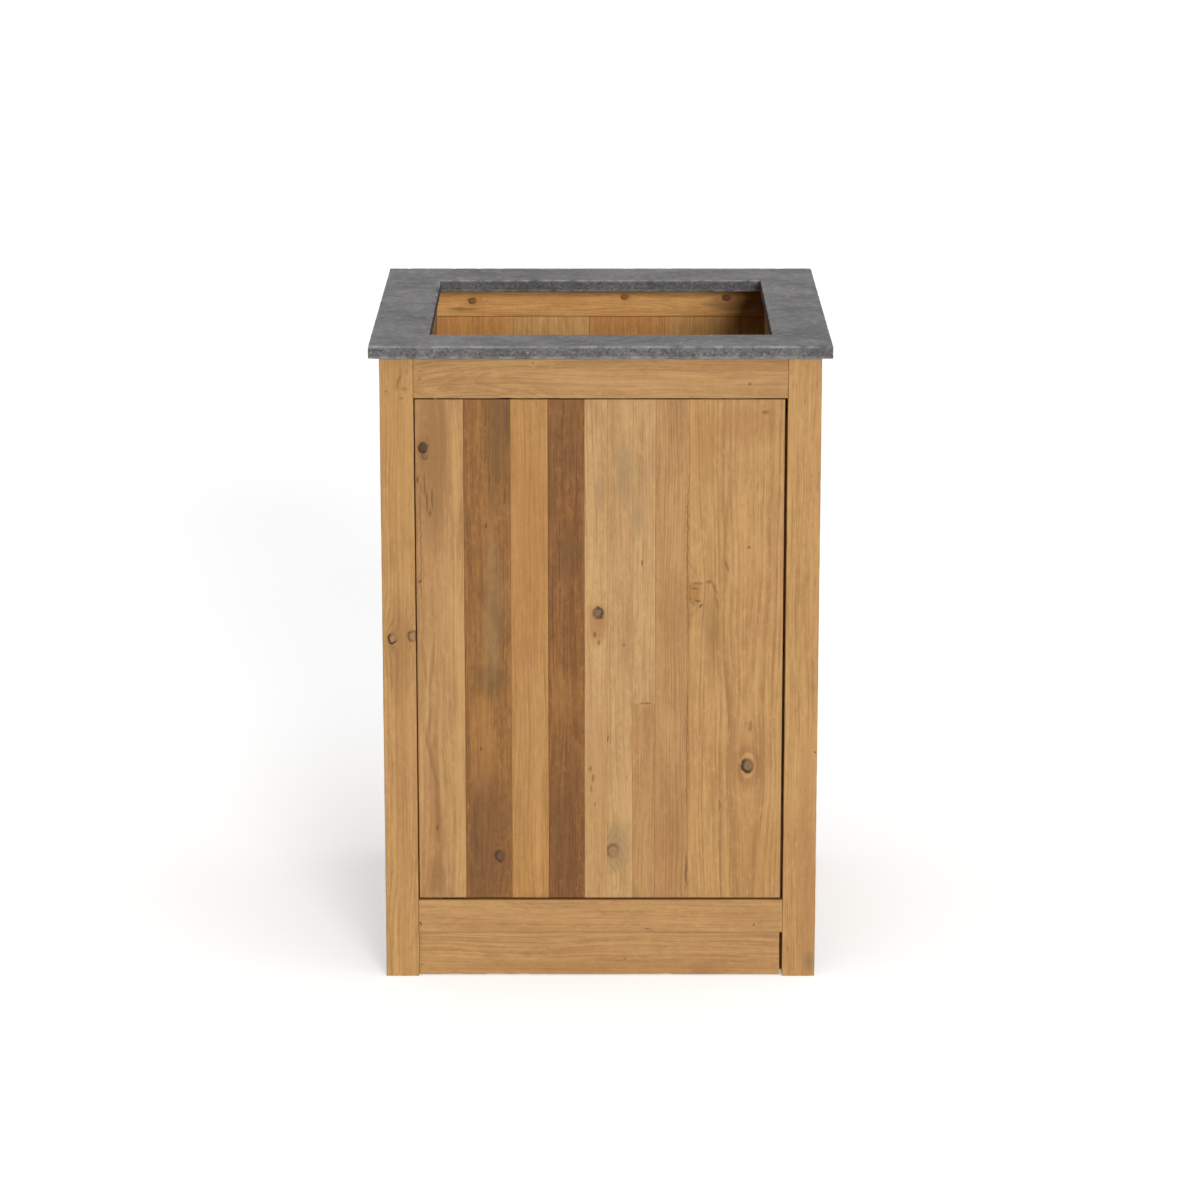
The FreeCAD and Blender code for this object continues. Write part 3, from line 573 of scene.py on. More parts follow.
def bluestone(name):
    """Honed dark limestone: clouds, fine crystals, pale flecks, raw, broken edges darkened partly with
    painted shade, and a painted highlight on worn arrises.
    """
    settings = bpy.context.scene.cabinet_stone
    material, place = new_material(name)
    body = tuple(settings.body)
    pale = tuple(settings.fleck)
    dark = shade(body, 0.62)
    raw = painted(place, "raw")
    cloud = place.stretch((14.0, 17.0, 14.0), (3.1, 8.4, 1.7)).cloud(4.0, 0.6)
    veins = place.stretch((24.0, 150.0, 60.0), (9.3, 2.2, 5.5)).cloud(4.0, 0.7)
    mottle = place.stretch((95.0, 62.0, 62.0), (6.1, 3.7, 2.4)).cloud(5.0, 0.78)
    crystal = place.stretch((620.0, 620.0, 620.0), (4.4, 1.2, 7.9)).cloud(2.0, 0.7)
    cells = place.node("ShaderNodeTexVoronoi", {"feature": "F1"}, {"Vector": place, "Scale": 240.0})
    broken = place.stretch((240.0, 240.0, 280.0), (1.5, 6.6, 3.2)).cloud(3.0, 0.7)
    colour = cloud.rise(0.3, 0.7).between(dark, body)
    colour = colour.tint(veins.rise(0.5, 0.78) * 0.3, pale)
    colour = colour.tint(veins.rise(0.46, 0.25) * 0.3, dark)
    colour = colour.tint(mottle.rise(0.50, 0.68) * 0.38, pale)
    colour = colour.tint(mottle.rise(0.49, 0.33) * 0.46, shade(body, 0.5))
    colour = colour.tint(crystal.rise(0.55, 0.85) * 0.5, pale)
    colour = colour.tint(crystal.rise(0.42, 0.2) * 0.45, shade(body, 0.4))
    colour = colour.tint(cells.rise(0.14, 0.05) * 0.55, pale)
    colour = colour.tint(raw * broken.rise(0.54, 0.70) * 0.5, shade(pale, 1.3))
    colour = colour.tint(raw * broken.rise(0.48, 0.34) * 0.85, shade(body, 0.33))
    # Darker over the raw edge faces: the split stone's colour and painted shade of its pits and upright
    # faces.
    colour = colour.tint(raw * 0.52, BLACK)
    # Paler along the slab's arrises: wear and a painted highlight.
    colour = colour.tint(painted(place, "worn") * 0.5, shade(pale, 1.25))
    rough = crystal * 0.16 + raw * 0.2 + 0.46
    height = crystal * 0.3 + cloud * 0.2 + raw * broken * 1.4
    surface(place, colour, rough, height, STONE_BUMP, {"Specular IOR Level": 0.4})
    return material


def metal(name, tone, brush, rough, tarnish):
    """Satin metal with fine brushing along one axis and a little tarnish."""
    material, place = new_material(name)
    lines = place.stretch(by_axis(brush, 260.0, 9000.0), (2.0, 5.0, 1.0)).cloud(2.0, 0.6)
    film = place.stretch((120.0, 120.0, 120.0), (7.0, 3.0, 4.0)).cloud(4.0, 0.65)
    dull = shade(tone, 0.55, 0.50, 0.42)
    colour = (film.rise(0.45, 0.75) * tarnish).between(tuple(tone), dull)
    colour = colour.tint(lines.rise(0.5, 0.8) * 0.25, dull)
    finish = lines * 0.2 + film * 0.15 + (rough - 0.17)
    surface(place, colour, finish, lines, METAL_BUMP, {"Metallic": 1.0})
    return material


def moulded(name, tone):
    """Moulded plastic with a fine spark-eroded grain."""
    material, place = new_material(name)
    grain = place.stretch((2600.0, 2600.0, 2600.0), (1.0, 2.0, 3.0)).cloud(2.0, 0.6)
    wear = place.stretch((90.0, 90.0, 90.0), (5.0, 1.0, 2.0)).cloud(3.0, 0.6)
    colour = (wear.rise(0.4, 0.8) * 0.4).between(tuple(tone), shade(tone, 1.5))
    surface(place, colour, grain * 0.15 + 0.42, grain, PLASTIC_BUMP, {})
    return material


# Corners closer than the first are one; measures closer than the second are the same.
WELD = 1e-6
SAME = 1e-5
# An arris is a convex edge over this angle in radians; one over this length is worn.
ARRIS_ANGLE = 0.6
WORN_LENGTH = 0.015
# Cuts beside an arris, the least gap between cuts, and how much wider the gaps across the grain may be.
CUTS_BESIDE = (0.0026, 0.0075)
LEAST_GAP = 0.0012
CROSS_GAP = 1.3
# Widest gaps of the net on timber that shows and on timber inside.
NET = 0.01
COARSE_NET = 0.022
# How far wear reaches from an arris, and dents and chips to a metre along and across the grain.
WEAR_REACH = 0.0024
DENT_PACE = (24.0, 85.0)
CHIP_PACE = (42.0, 150.0)
# How far in mm the pith may lie from a timber's middle, across and into the face, and a knot from an edge.
PITH_AWAY = ((5.0, 110.0), (20.0, 70.0))
KNOT_MARGIN = 22


def gaps_filled(places, low, high, widest):
    """Places for cuts between low and high: those asked for that aren't too close, and more in wide gaps."""
    kept = [low]
    for place in sorted(p for p in places if low < p < high):
        if place - kept[-1] > LEAST_GAP:
            kept.append(place)
    kept.append(high)
    filled = []
    for near, far in zip(kept, kept[1:]):
        count = max(1, math.ceil((far - near) / widest))
        filled += [near + (far - near) * step / count for step in range(count)]
    return filled[1:]


def rough_noise(points, scale, seed):
    """Perlin noise at each point, scaled by axis."""
    return np.array([noise.noise(Vector(p)) for p in points * np.array(scale) + seed])


def part_of(values, low, high):
    """Values from low to high as shares from 0 to 1."""
    return np.clip((values - low) / (high - low), 0.0, 1.0)


def ease_arrises(bm, arris):
    """Rounds the long arrises of a solid and gives the lines they ran along."""
    convex = [edge for edge in bm.edges if edge.is_convex and edge.calc_face_angle() > ARRIS_ANGLE]
    sharp = [edge for edge in convex if edge.calc_length() > WORN_LENGTH]
    lines = np.array([[corner.co[:] for corner in edge.verts] for edge in sharp])
    ends = {corner for edge in sharp for corner in edge.verts}
    caps = [edge for edge in convex if edge not in sharp and ends.issuperset(edge.verts)]
    bmesh.ops.bevel(bm, geom=sharp + caps, offset=arris, offset_type="OFFSET", segments=2, profile=0.5,
                    affect="EDGES", clamp_overlap=False)
    bmesh.ops.triangulate(bm, faces=[face for face in bm.faces if len(face.verts) > 4])
    return lines


def cut_net(bm, lines, box, grain, widest):
    """Cuts a solid across each axis, beside its arrises and where the gaps would be wide."""
    for axis in grain:
        level = np.abs(lines[:, 0, axis] - lines[:, 1, axis]) < SAME
        near = {round(float(place), 5) for place in lines[level, 0, axis]}
        places = [place + side * away for place in near for side in (-1, 1) for away in CUTS_BESIDE]
        step = widest if axis == grain[0] else widest * CROSS_GAP
        normal = Vector(by_axis(axis, 1.0, 0.0))
        for place in gaps_filled(places, box[0][axis], box[1][axis], step):
            bmesh.ops.bisect_plane(bm, geom=bm.verts[:] + bm.edges[:] + bm.faces[:], dist=WELD,
                                   plane_co=normal * place, plane_no=normal)


def wear_arrises(bm, lines, box, grain, wear, draw):
    """Dents and chips a solid along its arrises, and paints on it how worn it is."""
    bm.normal_update()
    points = np.array([vert.co[:] for vert in bm.verts])
    normals = np.array([vert.normal[:] for vert in bm.verts])
    start, run = lines[:, 0], lines[:, 1] - lines[:, 0]
    off = points[:, None] - start[None]
    share = np.clip((off * run).sum(2) / (run * run).sum(1), 0.0, 1.0)
    gap = np.linalg.norm(off - share[..., None] * run, axis=2).min(1)
    near = np.exp(-((gap / WEAR_REACH) ** 2))
    dents = rough_noise(points, by_axis(grain[0], *DENT_PACE), draw.uniform(0.0, 90.0))
    chips = rough_noise(points, by_axis(grain[0], *CHIP_PACE), draw.uniform(0.0, 90.0))
    loss = near * (0.35 * part_of(dents, -0.35, 0.65) + 0.75 * part_of(chips, 0.25, 0.6))
    worn = np.clip(points - normals * (wear * loss)[:, None], *box)
    layer = bm.verts.layers.float.new("worn")
    for vert, place, amount in zip(bm.verts, worn, loss):
        vert.co = place
        vert[layer] = min(1.0, 1.6 * amount)


def worn_mesh(node, grain, arris, wear, widest):
    """A copy of a solid with its long arrises eased and dented."""
    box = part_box(node)
    bm = bmesh.new()
    bm.from_mesh(frame["nodes"][node].data)
    bmesh.ops.remove_doubles(bm, verts=bm.verts, dist=WELD)
    bmesh.ops.dissolve_limit(bm, angle_limit=0.01, verts=bm.verts, edges=bm.edges)
    lines = ease_arrises(bm, arris)
    cut_net(bm, lines, box, grain, widest)
    wear_arrises(bm, lines, box, grain, wear, random.Random(node))
    mesh = bpy.data.meshes.new(node + "_timber")
    bm.to_mesh(mesh)
    bm.free()
    mesh.shade_smooth()
    mesh.set_sharp_from_angle(angle=0.75)
    return mesh


def add_object(name, data):
    """Puts new data into the scene as an object."""
    made = bpy.data.objects.new(name, data)
    bpy.context.scene.collection.objects.link(made)
    return made


def add_piece(name, mesh, material, nodes):
    """Shows a mesh in place of solids of one body."""
    piece = add_object(name, mesh)
    mesh.materials.clear()
    mesh.materials.append(material)
    solid = frame["nodes"][nodes[0]]
    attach(piece, solid["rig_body"])
    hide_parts(*nodes)


def add_timber(node, timber, grain, arris, wear, widest=NET):
    """Shows a worn piece of pine in place of a solid."""
    mesh = worn_mesh(node, grain, arris, wear, widest)
    add_piece(node + "_timber", mesh, pine(node + "_pine", timber, grain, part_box(node)), [node])


def any_timber(node, tones, **choices):
    """A timber like others from the same heap, drawn by the piece's name."""
    draw = random.Random(node + "_log")
    facts = {
        "tone": draw.choice(tones),
        "pith": tuple(draw.choice((-1, 1)) * draw.uniform(*away) for away in PITH_AWAY),
        "taper": draw.uniform(-0.04, 0.04),
        "rings": draw.uniform(0.4, 0.65),
        "streaks": draw.uniform(0.25, 0.5),
        "smoke": draw.uniform(0.1, 0.35),
    }
    return Timber(**(facts | choices))


def any_knots(node, across):
    """Up to two knots in a board, drawn by its name."""
    draw = random.Random(node + "_knots")
    low, high = (corner[across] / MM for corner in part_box(node))
    return tuple(
        Knot(draw.uniform(low + KNOT_MARGIN, high - KNOT_MARGIN), draw.uniform(160, 790),
             draw.uniform(5.5, 10.0), draw.choice(HEARTS), DARK_BARK, draw.uniform(0.4, 0.9),
             draw.uniform(7, 14))
        for _ in range(draw.choice((0, 1, 1, 2))))


POSTS = {
    "front_left_post": Timber(
        HONEY, (-60.0, 40.0), 0.015, rings=0.4, smoke=0.3,
        knots=(
            Knot(-286, 489, 6.0, PALE_HEART, DARK_BARK, 1.0, 6.0, side=3.9),
            Knot(-258, 492, 6.5, PALE_HEART, BROWN_BARK, 0.8, 5.0, side=2.6),
        ),
        stains=(
            Mark(-274, 260, 9, 300, 0.35, RUST), Mark(-276, 480, 24, 75, 0.45, TEA),
            Mark(-277, 730, 26, 170, 0.3, SAP),
        ),
        dents=(
            Mark(-273, 852, 1.6, 7, 0.35, lean=0.3), Mark(-266, 838, 4.5, 3.2, 0.3),
            Mark(-276, 845, 1.3, 9, 0.3), Mark(-270, 826, 3.6, 2.2, 0.3), Mark(-291, 835, 2.0, 1.4, 0.4),
            Mark(-262, 862, 1.2, 6, 0.3),
        ),
    ),
    "front_right_post": Timber(
        HONEY, (70.0, 45.0), -0.015, rings=0.45, smoke=0.2,
        stains=(Mark(289, 130, 14, 210, 0.4, RUST), Mark(292, 22, 9, 16, 0.5, SMUT)),
        dents=(Mark(297, 326, 1.4, 2.0, 0.9), Mark(262, 40, 1.0, 5, 0.3)),
    ),
    "rear_left_post": Timber(HONEY, (45.0, -50.0), 0.02, knots=(Knot(-276, 610, 8.0),)),
    "rear_right_post": Timber(STRAW, (-55.0, -35.0), -0.02, knots=(Knot(281, 330, 7.0),)),
}
RAILS = {
    "front_top_rail": (LEVEL_FRONT, Timber(
        TAN, (-14.0, 22.0), 0.035, rings=0.36, figure=2.0, smoke=0.25,
        dents=(
            Mark(845, 202, 2.6, 3.2, 0.5), Mark(874, -92, 1.2, 3, 0.5), Mark(872, -58, 1.0, 2.4, 0.4),
            Mark(852, -246, 2.4, 1.4, 0.4), Mark(863, -243, 1.6, 1.2, 0.35),
        ),
        stains=(
            Mark(864, -10, 8, 60, 0.45, CHAFF, 0.05), Mark(855, 118, 6, 55, 0.5, CHAFF, -0.1),
            Mark(873, -150, 5, 75, 0.4, CHAFF), Mark(848, -190, 7, 90, 0.35, RUST),
            Mark(867, 195, 7, 60, 0.35, SAP),
        ),
    )),
    "front_bottom_rail": (LEVEL_FRONT, Timber(
        TAN, (6.0, 26.0), -0.03, rings=0.4, figure=1.4, smoke=0.18, dirt=0.55,
        dents=(
            Mark(77, -252, 3.5, 1.2, 0.85), Mark(76, 214, 3.2, 0.9, 0.7), Mark(70, 66, 0.9, 7, 0.5),
        ),
        stains=(Mark(88, 215, 10, 60, 0.3, RUST),),
    )),
    # The rail at the back takes a brightened tone, painted light against the slab's shadow.
    "rear_top_rail": (LEVEL_FRONT, Timber(
        REAR_RAIL_BRIGHTENED_TONE, (-8.0, -24.0), 0.03, rings=0.5, figure=1.6, smoke=0.15,
        knots=(
            Knot(857.5, -190, 4.5, RUST, BROWN_BARK, 0.6, 9.0, 1.3, 0.6, 5.0),
            Knot(863, 36, 4.0, SAP, TEA, 0.5, 8.0, 1.5, 0.5, 4.2),
            Knot(862, 188, 5.0, RUST, BROWN_BARK, 0.6, 9.0, 1.3, 0.6, 4.6),
        ),
        stains=(Mark(845, -203, 3, 22, 0.6, SOOT), Mark(852, 195, 9, 40, 0.5, TEA)),
    )),
    "rear_bottom_rail": (LEVEL_FRONT, Timber(TAN, (10.0, -30.0), -0.02)),
    "left_top_rail": (LEVEL_SIDE, Timber(STRAW, (-12.0, 28.0), 0.03, knots=(Knot(856, -120, 8.0),))),
    "left_bottom_rail": (LEVEL_SIDE, Timber(HONEY, (10.0, 30.0), -0.03)),
    "right_top_rail": (LEVEL_SIDE, Timber(STRAW, (8.0, -26.0), -0.03)),
    "right_bottom_rail": (LEVEL_SIDE, Timber(HONEY, (-9.0, -30.0), 0.02, knots=(Knot(88, 130, 7.0),))),
    "plinth_board": (LEVEL_FRONT, Timber(
        TAN, (-20.0, 20.0), 0.03, rings=0.42, figure=1.4, streaks=0.5, smoke=0.3,
        stains=(Mark(12, 20, 9, 260, 0.45, RUST), Mark(60, -30, 3, 260, 0.5, CHAFF)),
        dents=(
            Mark(46, -251, 1.6, 1.0, 0.8), Mark(16, -251, 1.4, 0.9, 0.7), Mark(24, 34, 2.0, 1.6, 0.4),
        ),
    )),
}
DOOR_BOARDS = {
    "door_board_1": Timber(
        TAN, (-14.0, 21.0), -0.016, rings=0.75, figure=1.5, streaks=0.5, smoke=0.2, dirt=0.3, ring_scale=1.3,
        knots=(
            Knot(-239, 745, 5.0, GREY_HEART, BROWN_BARK, 0.6, 1.0),
            Knot(-241, 756, 6.5, DEAD_HEART, DARK_BARK, 0.8, 5.0),
        ),
        dents=(
            Mark(-250, 711, 1.2, 5, 0.8), Mark(-248, 568, 2.0, 2.0, 0.8), Mark(-240, 703, 1.1, 17, 0.55),
            Mark(-237, 680, 1.3, 15, 0.6), Mark(-230, 684, 1.2, 16, 0.55), Mark(-233, 664, 2.0, 6, 0.5),
            Mark(-246, 610, 0.8, 110, 0.35), Mark(-227, 216, 2.2, 4.0, 0.6),
        ),
        stains=(
            Mark(-231, 745, 24, 130, 0.75, TEA), Mark(-228, 140, 13, 32, 0.65, TEA),
            Mark(-228, 270, 9, 120, 0.4, TEA), Mark(-196, 730, 6, 90, 0.5, CHAFF),
            Mark(-200, 400, 14, 290, 0.5, CHAFF), Mark(-238, 420, 2.4, 95, 0.5, CHAFF, 0.02),
            Mark(-222, 330, 2.6, 90, 0.5, CHAFF, -0.03), Mark(-247, 330, 2.2, 130, 0.5, CHAFF),
            Mark(-232.5, 447, 2.6, 50, 0.5, TEA, 0.09), Mark(-243, 457, 2.4, 40, 0.45, TEA, -0.1),
            Mark(-237, 366, 2.8, 36, 0.5, TEA, 0.14), Mark(-234.5, 317, 2.8, 38, 0.5, TEA, -0.2),
            Mark(-227, 245, 3.0, 55, 0.55, TEA, -0.02),
        ),
    ),
    "door_board_2": Timber(
        UMBER, (85.0, 38.0), 0.02, rings=0.5, streaks=0.6, smoke=0.6, dirt=0.5, fibres=1.9,
        knots=(Knot(-140, 175, 6.5, BROWN_HEART, DARK_BARK, 0.9, 6.0, 1.3, 0.3, 3.4),),
        dents=(
            Mark(-157, 648, 1.4, 3.8, 0.8, lean=0.3), Mark(-166, 330, 1.4, 4, 0.7),
            Mark(-178, 585, 1.0, 9, 0.5), Mark(-171, 470, 0.9, 12, 0.4), Mark(-131, 690, 0.9, 14, 0.45),
        ),
        stains=(
            Mark(-138, 770, 20, 90, 0.55, SOOT), Mark(-126, 800, 5, 40, 0.7, SOOT),
            Mark(-146, 520, 18, 100, 0.35, ASH), Mark(-152, 425, 30, 22, 0.35, SOOT),
            Mark(-156, 195, 40, 110, 0.55, BISTRE), Mark(-166, 335, 22, 60, 0.4, SAP),
        ),
    ),
    "door_board_3": Timber(
        AMBER, (70.0, 60.0), 0.01, rings=0.35, streaks=0.3, smoke=0.15, dirt=0.2,
        stains=(
            Mark(-92, 640, 22, 130, 0.5, SAP), Mark(-96, 340, 20, 140, 0.3, CHAFF),
            Mark(-102, 470, 14, 30, 0.35, RUST),
        ),
    ),
    "door_board_4": Timber(
        SMOKED, (-75.0, 50.0), 0.012, rings=0.55, streaks=0.6, smoke=0.5, dirt=0.6, fibres=2.1,
        ring_scale=0.8,
        stains=(
            Mark(-47, 770, 26, 60, 0.3, SOOT), Mark(-47, 405, 24, 36, 0.35, SAP),
            Mark(-44, 610, 20, 40, 0.4, SOOT), Mark(-48, 200, 24, 100, 0.45, BISTRE),
        ),
    ),
    "door_board_5": Timber(
        STRAW, (-110.0, 60.0), 0.01, rings=0.32, streaks=0.3, smoke=0.18,
        knots=(Knot(-4, 524, 7.0, GREY_HEART, DARK_BARK, 0.9, 9.0, halo=0.7, side=0.2),),
        dents=(
            Mark(-8, 493, 2.4, 5, 0.6), Mark(-3, 482, 1.9, 4, 0.6), Mark(-14, 301, 3.0, 6, 0.45),
            Mark(-10, 288, 2.2, 7, 0.45, lean=0.2), Mark(-13, 272, 1.8, 6, 0.4),
            Mark(-8, 250, 1.4, 4, 0.35),
        ),
        stains=(
            Mark(-5, 506, 11, 24, 0.6, RUST), Mark(0, 694, 9, 24, 0.45, ASH),
            Mark(0, 230, 26, 130, 0.35, SAP),
        ),
    ),
    "door_board_6": Timber(
        STRAW, (-95.0, 55.0), -0.012, rings=0.32, streaks=0.32, smoke=0.28,
        knots=(Knot(17, 182, 8.5, PALE_HEART, BROWN_BARK, 0.6, 8.0, 1.1, 0.3, 2.2),),
        dents=(Mark(10, 344, 1.1, 4.5, 0.65), Mark(33, 478, 1.2, 2, 0.4)),
        stains=(
            Mark(32, 715, 10, 50, 0.5, ASH), Mark(20, 190, 19, 36, 0.65, ASH),
            Mark(38, 505, 5, 24, 0.45, RUST),
        ),
    ),
    "door_board_7_lower": Timber(TAN, (100.0, 60.0), 0.01, rings=0.32, streaks=0.32),
    "door_board_7_upper": Timber(
        STRAW, (115.0, 60.0), -0.01, rings=0.3, streaks=0.3,
        dents=(Mark(57, 595, 1.0, 4.5, 0.7), Mark(63, 395.2, 9, 1.0, 0.7)),
        stains=(Mark(52, 700, 7, 60, 0.25, ASH), Mark(49, 656, 7, 28, 0.45, ASH)),
    ),
    "door_board_8": Timber(
        TAN, (60.0, 40.0), 0.008, rings=0.55, streaks=0.4, smoke=0.2, dirt=0.25, ring_scale=0.9,
        stains=(Mark(98, 520, 24, 60, 0.35, RUST), Mark(100, 190, 22, 100, 0.4, RUST)),
        dents=(
            Mark(119, 600, 1.1, 150, 0.6), Mark(119.5, 330, 1.0, 120, 0.5), Mark(119, 150, 1.5, 34, 0.75),
        ),
    ),
    "door_board_9": Timber(
        HONEY, (14.0, 46.0), 0.015, rings=0.6, streaks=0.45, smoke=0.2, dirt=0.2, ring_scale=1.3,
        knots=(
            Knot(204, 306, 8.5, GREY_HEART, DARK_BARK, 1.0, 7.0, 1.12, 0.25),
            Knot(127, 552, 8.0, SAP, TEA, 0.3, 11.0, 1.8),
        ),
        dents=(
            Mark(207, 362, 2.4, 9, 0.45, lean=0.15), Mark(224, 805, 5.5, 2.8, 0.5),
            Mark(203, 617, 2.4, 1.8, 0.6), Mark(133, 566, 8, 2.2, 0.4), Mark(149, 568, 6, 2.6, 0.42),
            Mark(157, 558, 2.4, 9, 0.38, lean=-0.4), Mark(130, 559, 5, 1.6, 0.5, lean=0.2),
            Mark(133, 541, 4.5, 1.7, 0.65, lean=0.3), Mark(138, 534, 1.8, 4.5, 0.65, lean=0.5),
            Mark(173, 590, 2.0, 9, 0.4, lean=-0.25), Mark(165, 248, 1.3, 10, 0.5),
        ),
        stains=(
            Mark(155, 500, 11, 55, 0.6, TEA), Mark(205, 790, 44, 26, 0.4, RUST),
            Mark(215, 180, 40, 60, 0.3, SAP), Mark(140, 760, 22, 50, 0.35, SAP),
            Mark(158, 545, 2.2, 24, 0.5, TEA, -0.2), Mark(171, 640, 2.6, 62, 0.5, RUST, 0.05),
        ),
    ),
}
HEARTS = (DEAD_HEART, GREY_HEART, PALE_HEART, RUST)
PANEL_TONES = (HONEY, TAN, STRAW, AMBER)
INNER_TONES = (STRAW, HONEY, SAWN)
# Share of the frame's wear on the boards of the door and of the panels.
DOOR_WEAR = 0.35
PANEL_WEAR = 0.7


class CABINET_OT_frame(bpy.types.Operator):
    """Makes the worn posts, rails and plinth board"""

    bl_idname = "cabinet.frame"
    bl_label = "Frame"

    def execute(self, context):
        settings = context.scene.cabinet_pine
        for node, timber in POSTS.items():
            add_timber(node, timber, UPRIGHT_FRONT, settings.arris, settings.wear)
        for node, (grain, timber) in RAILS.items():
            add_timber(node, timber, grain, settings.arris, settings.wear)
        return {"FINISHED"}


class CABINET_OT_door(bpy.types.Operator):
    """Makes the boards of the door and the ledges behind them"""

    bl_idname = "cabinet.door"
    bl_label = "Door"

    def execute(self, context):
        settings = context.scene.cabinet_pine
        for node, timber in DOOR_BOARDS.items():
            add_timber(node, timber, UPRIGHT_FRONT, settings.joint, settings.wear * DOOR_WEAR)
        for node in ("lower_door_ledge", "upper_door_ledge"):
            add_timber(node, any_timber(node, INNER_TONES), LEVEL_FRONT, settings.arris, settings.wear)
        return {"FINISHED"}


class CABINET_OT_panels(bpy.types.Operator):
    """Makes the boards of the two sides and the back"""

    bl_idname = "cabinet.panels"
    bl_label = "Panels"

    def execute(self, context):
        settings = context.scene.cabinet_pine
        for node in sorted(frame["nodes"]):
            if node.startswith(("left_board", "right_board")):
                grain, tones = UPRIGHT_SIDE, PANEL_TONES
            elif node.startswith("rear_board"):
                # The back boards take brightened tones, painted light against the slab's shadow.
                grain, tones = UPRIGHT_FRONT, (REAR_BRIGHTENED_TONES[int(node[-1]) - 1],)
            else:
                continue
            timber = any_timber(node, tones, dirt=0.45, knots=any_knots(node, grain[1]))
            add_timber(node, timber, grain, settings.joint, settings.wear * PANEL_WEAR)
        return {"FINISHED"}


class CABINET_OT_inside(bpy.types.Operator):
    """Makes the sawn timber inside: bearers, floor boards and plinth blocks"""

    bl_idname = "cabinet.inside"
    bl_label = "Inside"

    def execute(self, context):
        settings = context.scene.cabinet_pine
        for node in sorted(frame["nodes"]):
            if node.endswith("_bearer"):
                grain = LEVEL_SIDE
            elif node.startswith("floor_board"):
                grain = LYING
            elif node == "plinth_blocks":
                grain = UPRIGHT_FRONT
            else:
                continue
            timber = any_timber(node, INNER_TONES)
            add_timber(node, timber, grain, settings.arris, settings.wear, COARSE_NET)
        return {"FINISHED"}


# Rows of the slab's net up an edge, over the top and below, and steps along a side.
EDGE_ROWS, TOP_ROWS, UNDER_ROWS = 7, 15, 9
SIDE_STEPS = 230
# Angles of the rows round an arris, and the first row's distance from it on the flat.
ARRIS_TURN = [math.radians(angle) for angle in (0.0, 22.5, 45.0, 67.5, 90.0)]
FLAT_START = 0.002
# The cut-out lies at least this far inside the slab.
HOLE_MARGIN = 0.03
# How far the raw look, partly painted shade, reaches in from an edge and wear, partly a painted highlight,
# from an arris, and how uneven the honed faces are.
RAW_REACH = 0.0045
STONE_WEAR_REACH = 0.004
HONING = 0.00006


def slab_rows(outside, hole, bottom, top, radius):
    """Rectangles with their heights, up the slab's outside, over the top, down the hole and back below."""
    inward = np.array([1.0, 1.0, -1.0, -1.0])

    def arris(edge, way, face, lift, turn):
        return [(edge + way * radius * (1 - math.cos(angle)), face + lift * radius * (1 - math.sin(angle)))
                for angle in turn]

    heights = np.linspace(bottom + radius, top - radius, EDGE_ROWS)
    first = outside + inward * (radius + FLAT_START)
    last = hole - inward * (radius + FLAT_START)
    rows = [(outside, height) for height in heights[:-1]]
    rows += arris(outside, inward, top, -1, ARRIS_TURN)
    rows += [(first + (last - first) * share, top) for share in np.linspace(0.0, 1.0, TOP_ROWS)]
    rows += arris(hole, -inward, top, -1, ARRIS_TURN[::-1])
    rows += [(hole, height) for height in heights[-2::-1]]
    rows += arris(hole, -inward, bottom, 1, ARRIS_TURN[1:])
    rows += [(first + (last - first) * share, bottom) for share in np.linspace(1.0, 0.0, UNDER_ROWS)]
    rows += arris(outside, inward, bottom, 1, ARRIS_TURN[:0:-1])
    return rows


def slab_net(rows):
    """Points along the rows, and the faces that join each row to the next and the last to the first."""
    steps = np.linspace(0.0, 1.0, SIDE_STEPS + 1)[:-1]
    points = []
    for (x0, y0, x1, y1), height in rows:
        corners = ((x0, y0), (x1, y0), (x1, y1), (x0, y1), (x0, y0))
        for (ax, ay), (bx, by) in zip(corners, corners[1:]):
            points.append(np.c_[ax + (bx - ax) * steps, ay + (by - ay) * steps, np.full_like(steps, height)])
    around = 4 * SIDE_STEPS
    faces = []
    for row in range(len(rows)):
        here, there = row * around, (row + 1) % len(rows) * around
        for column in range(around):
            right = (column + 1) % around
            faces.append((here + column, here + right, there + right, there + column))
    return np.concatenate(points), faces


def inside(points, rectangle):
    """How far points lie inside a rectangle, below zero for those outside."""
    x, y = points[:, X], points[:, Y]
    x0, y0, x1, y1 = rectangle
    return np.minimum.reduce([x - x0, x1 - x, y - y0, y1 - y])


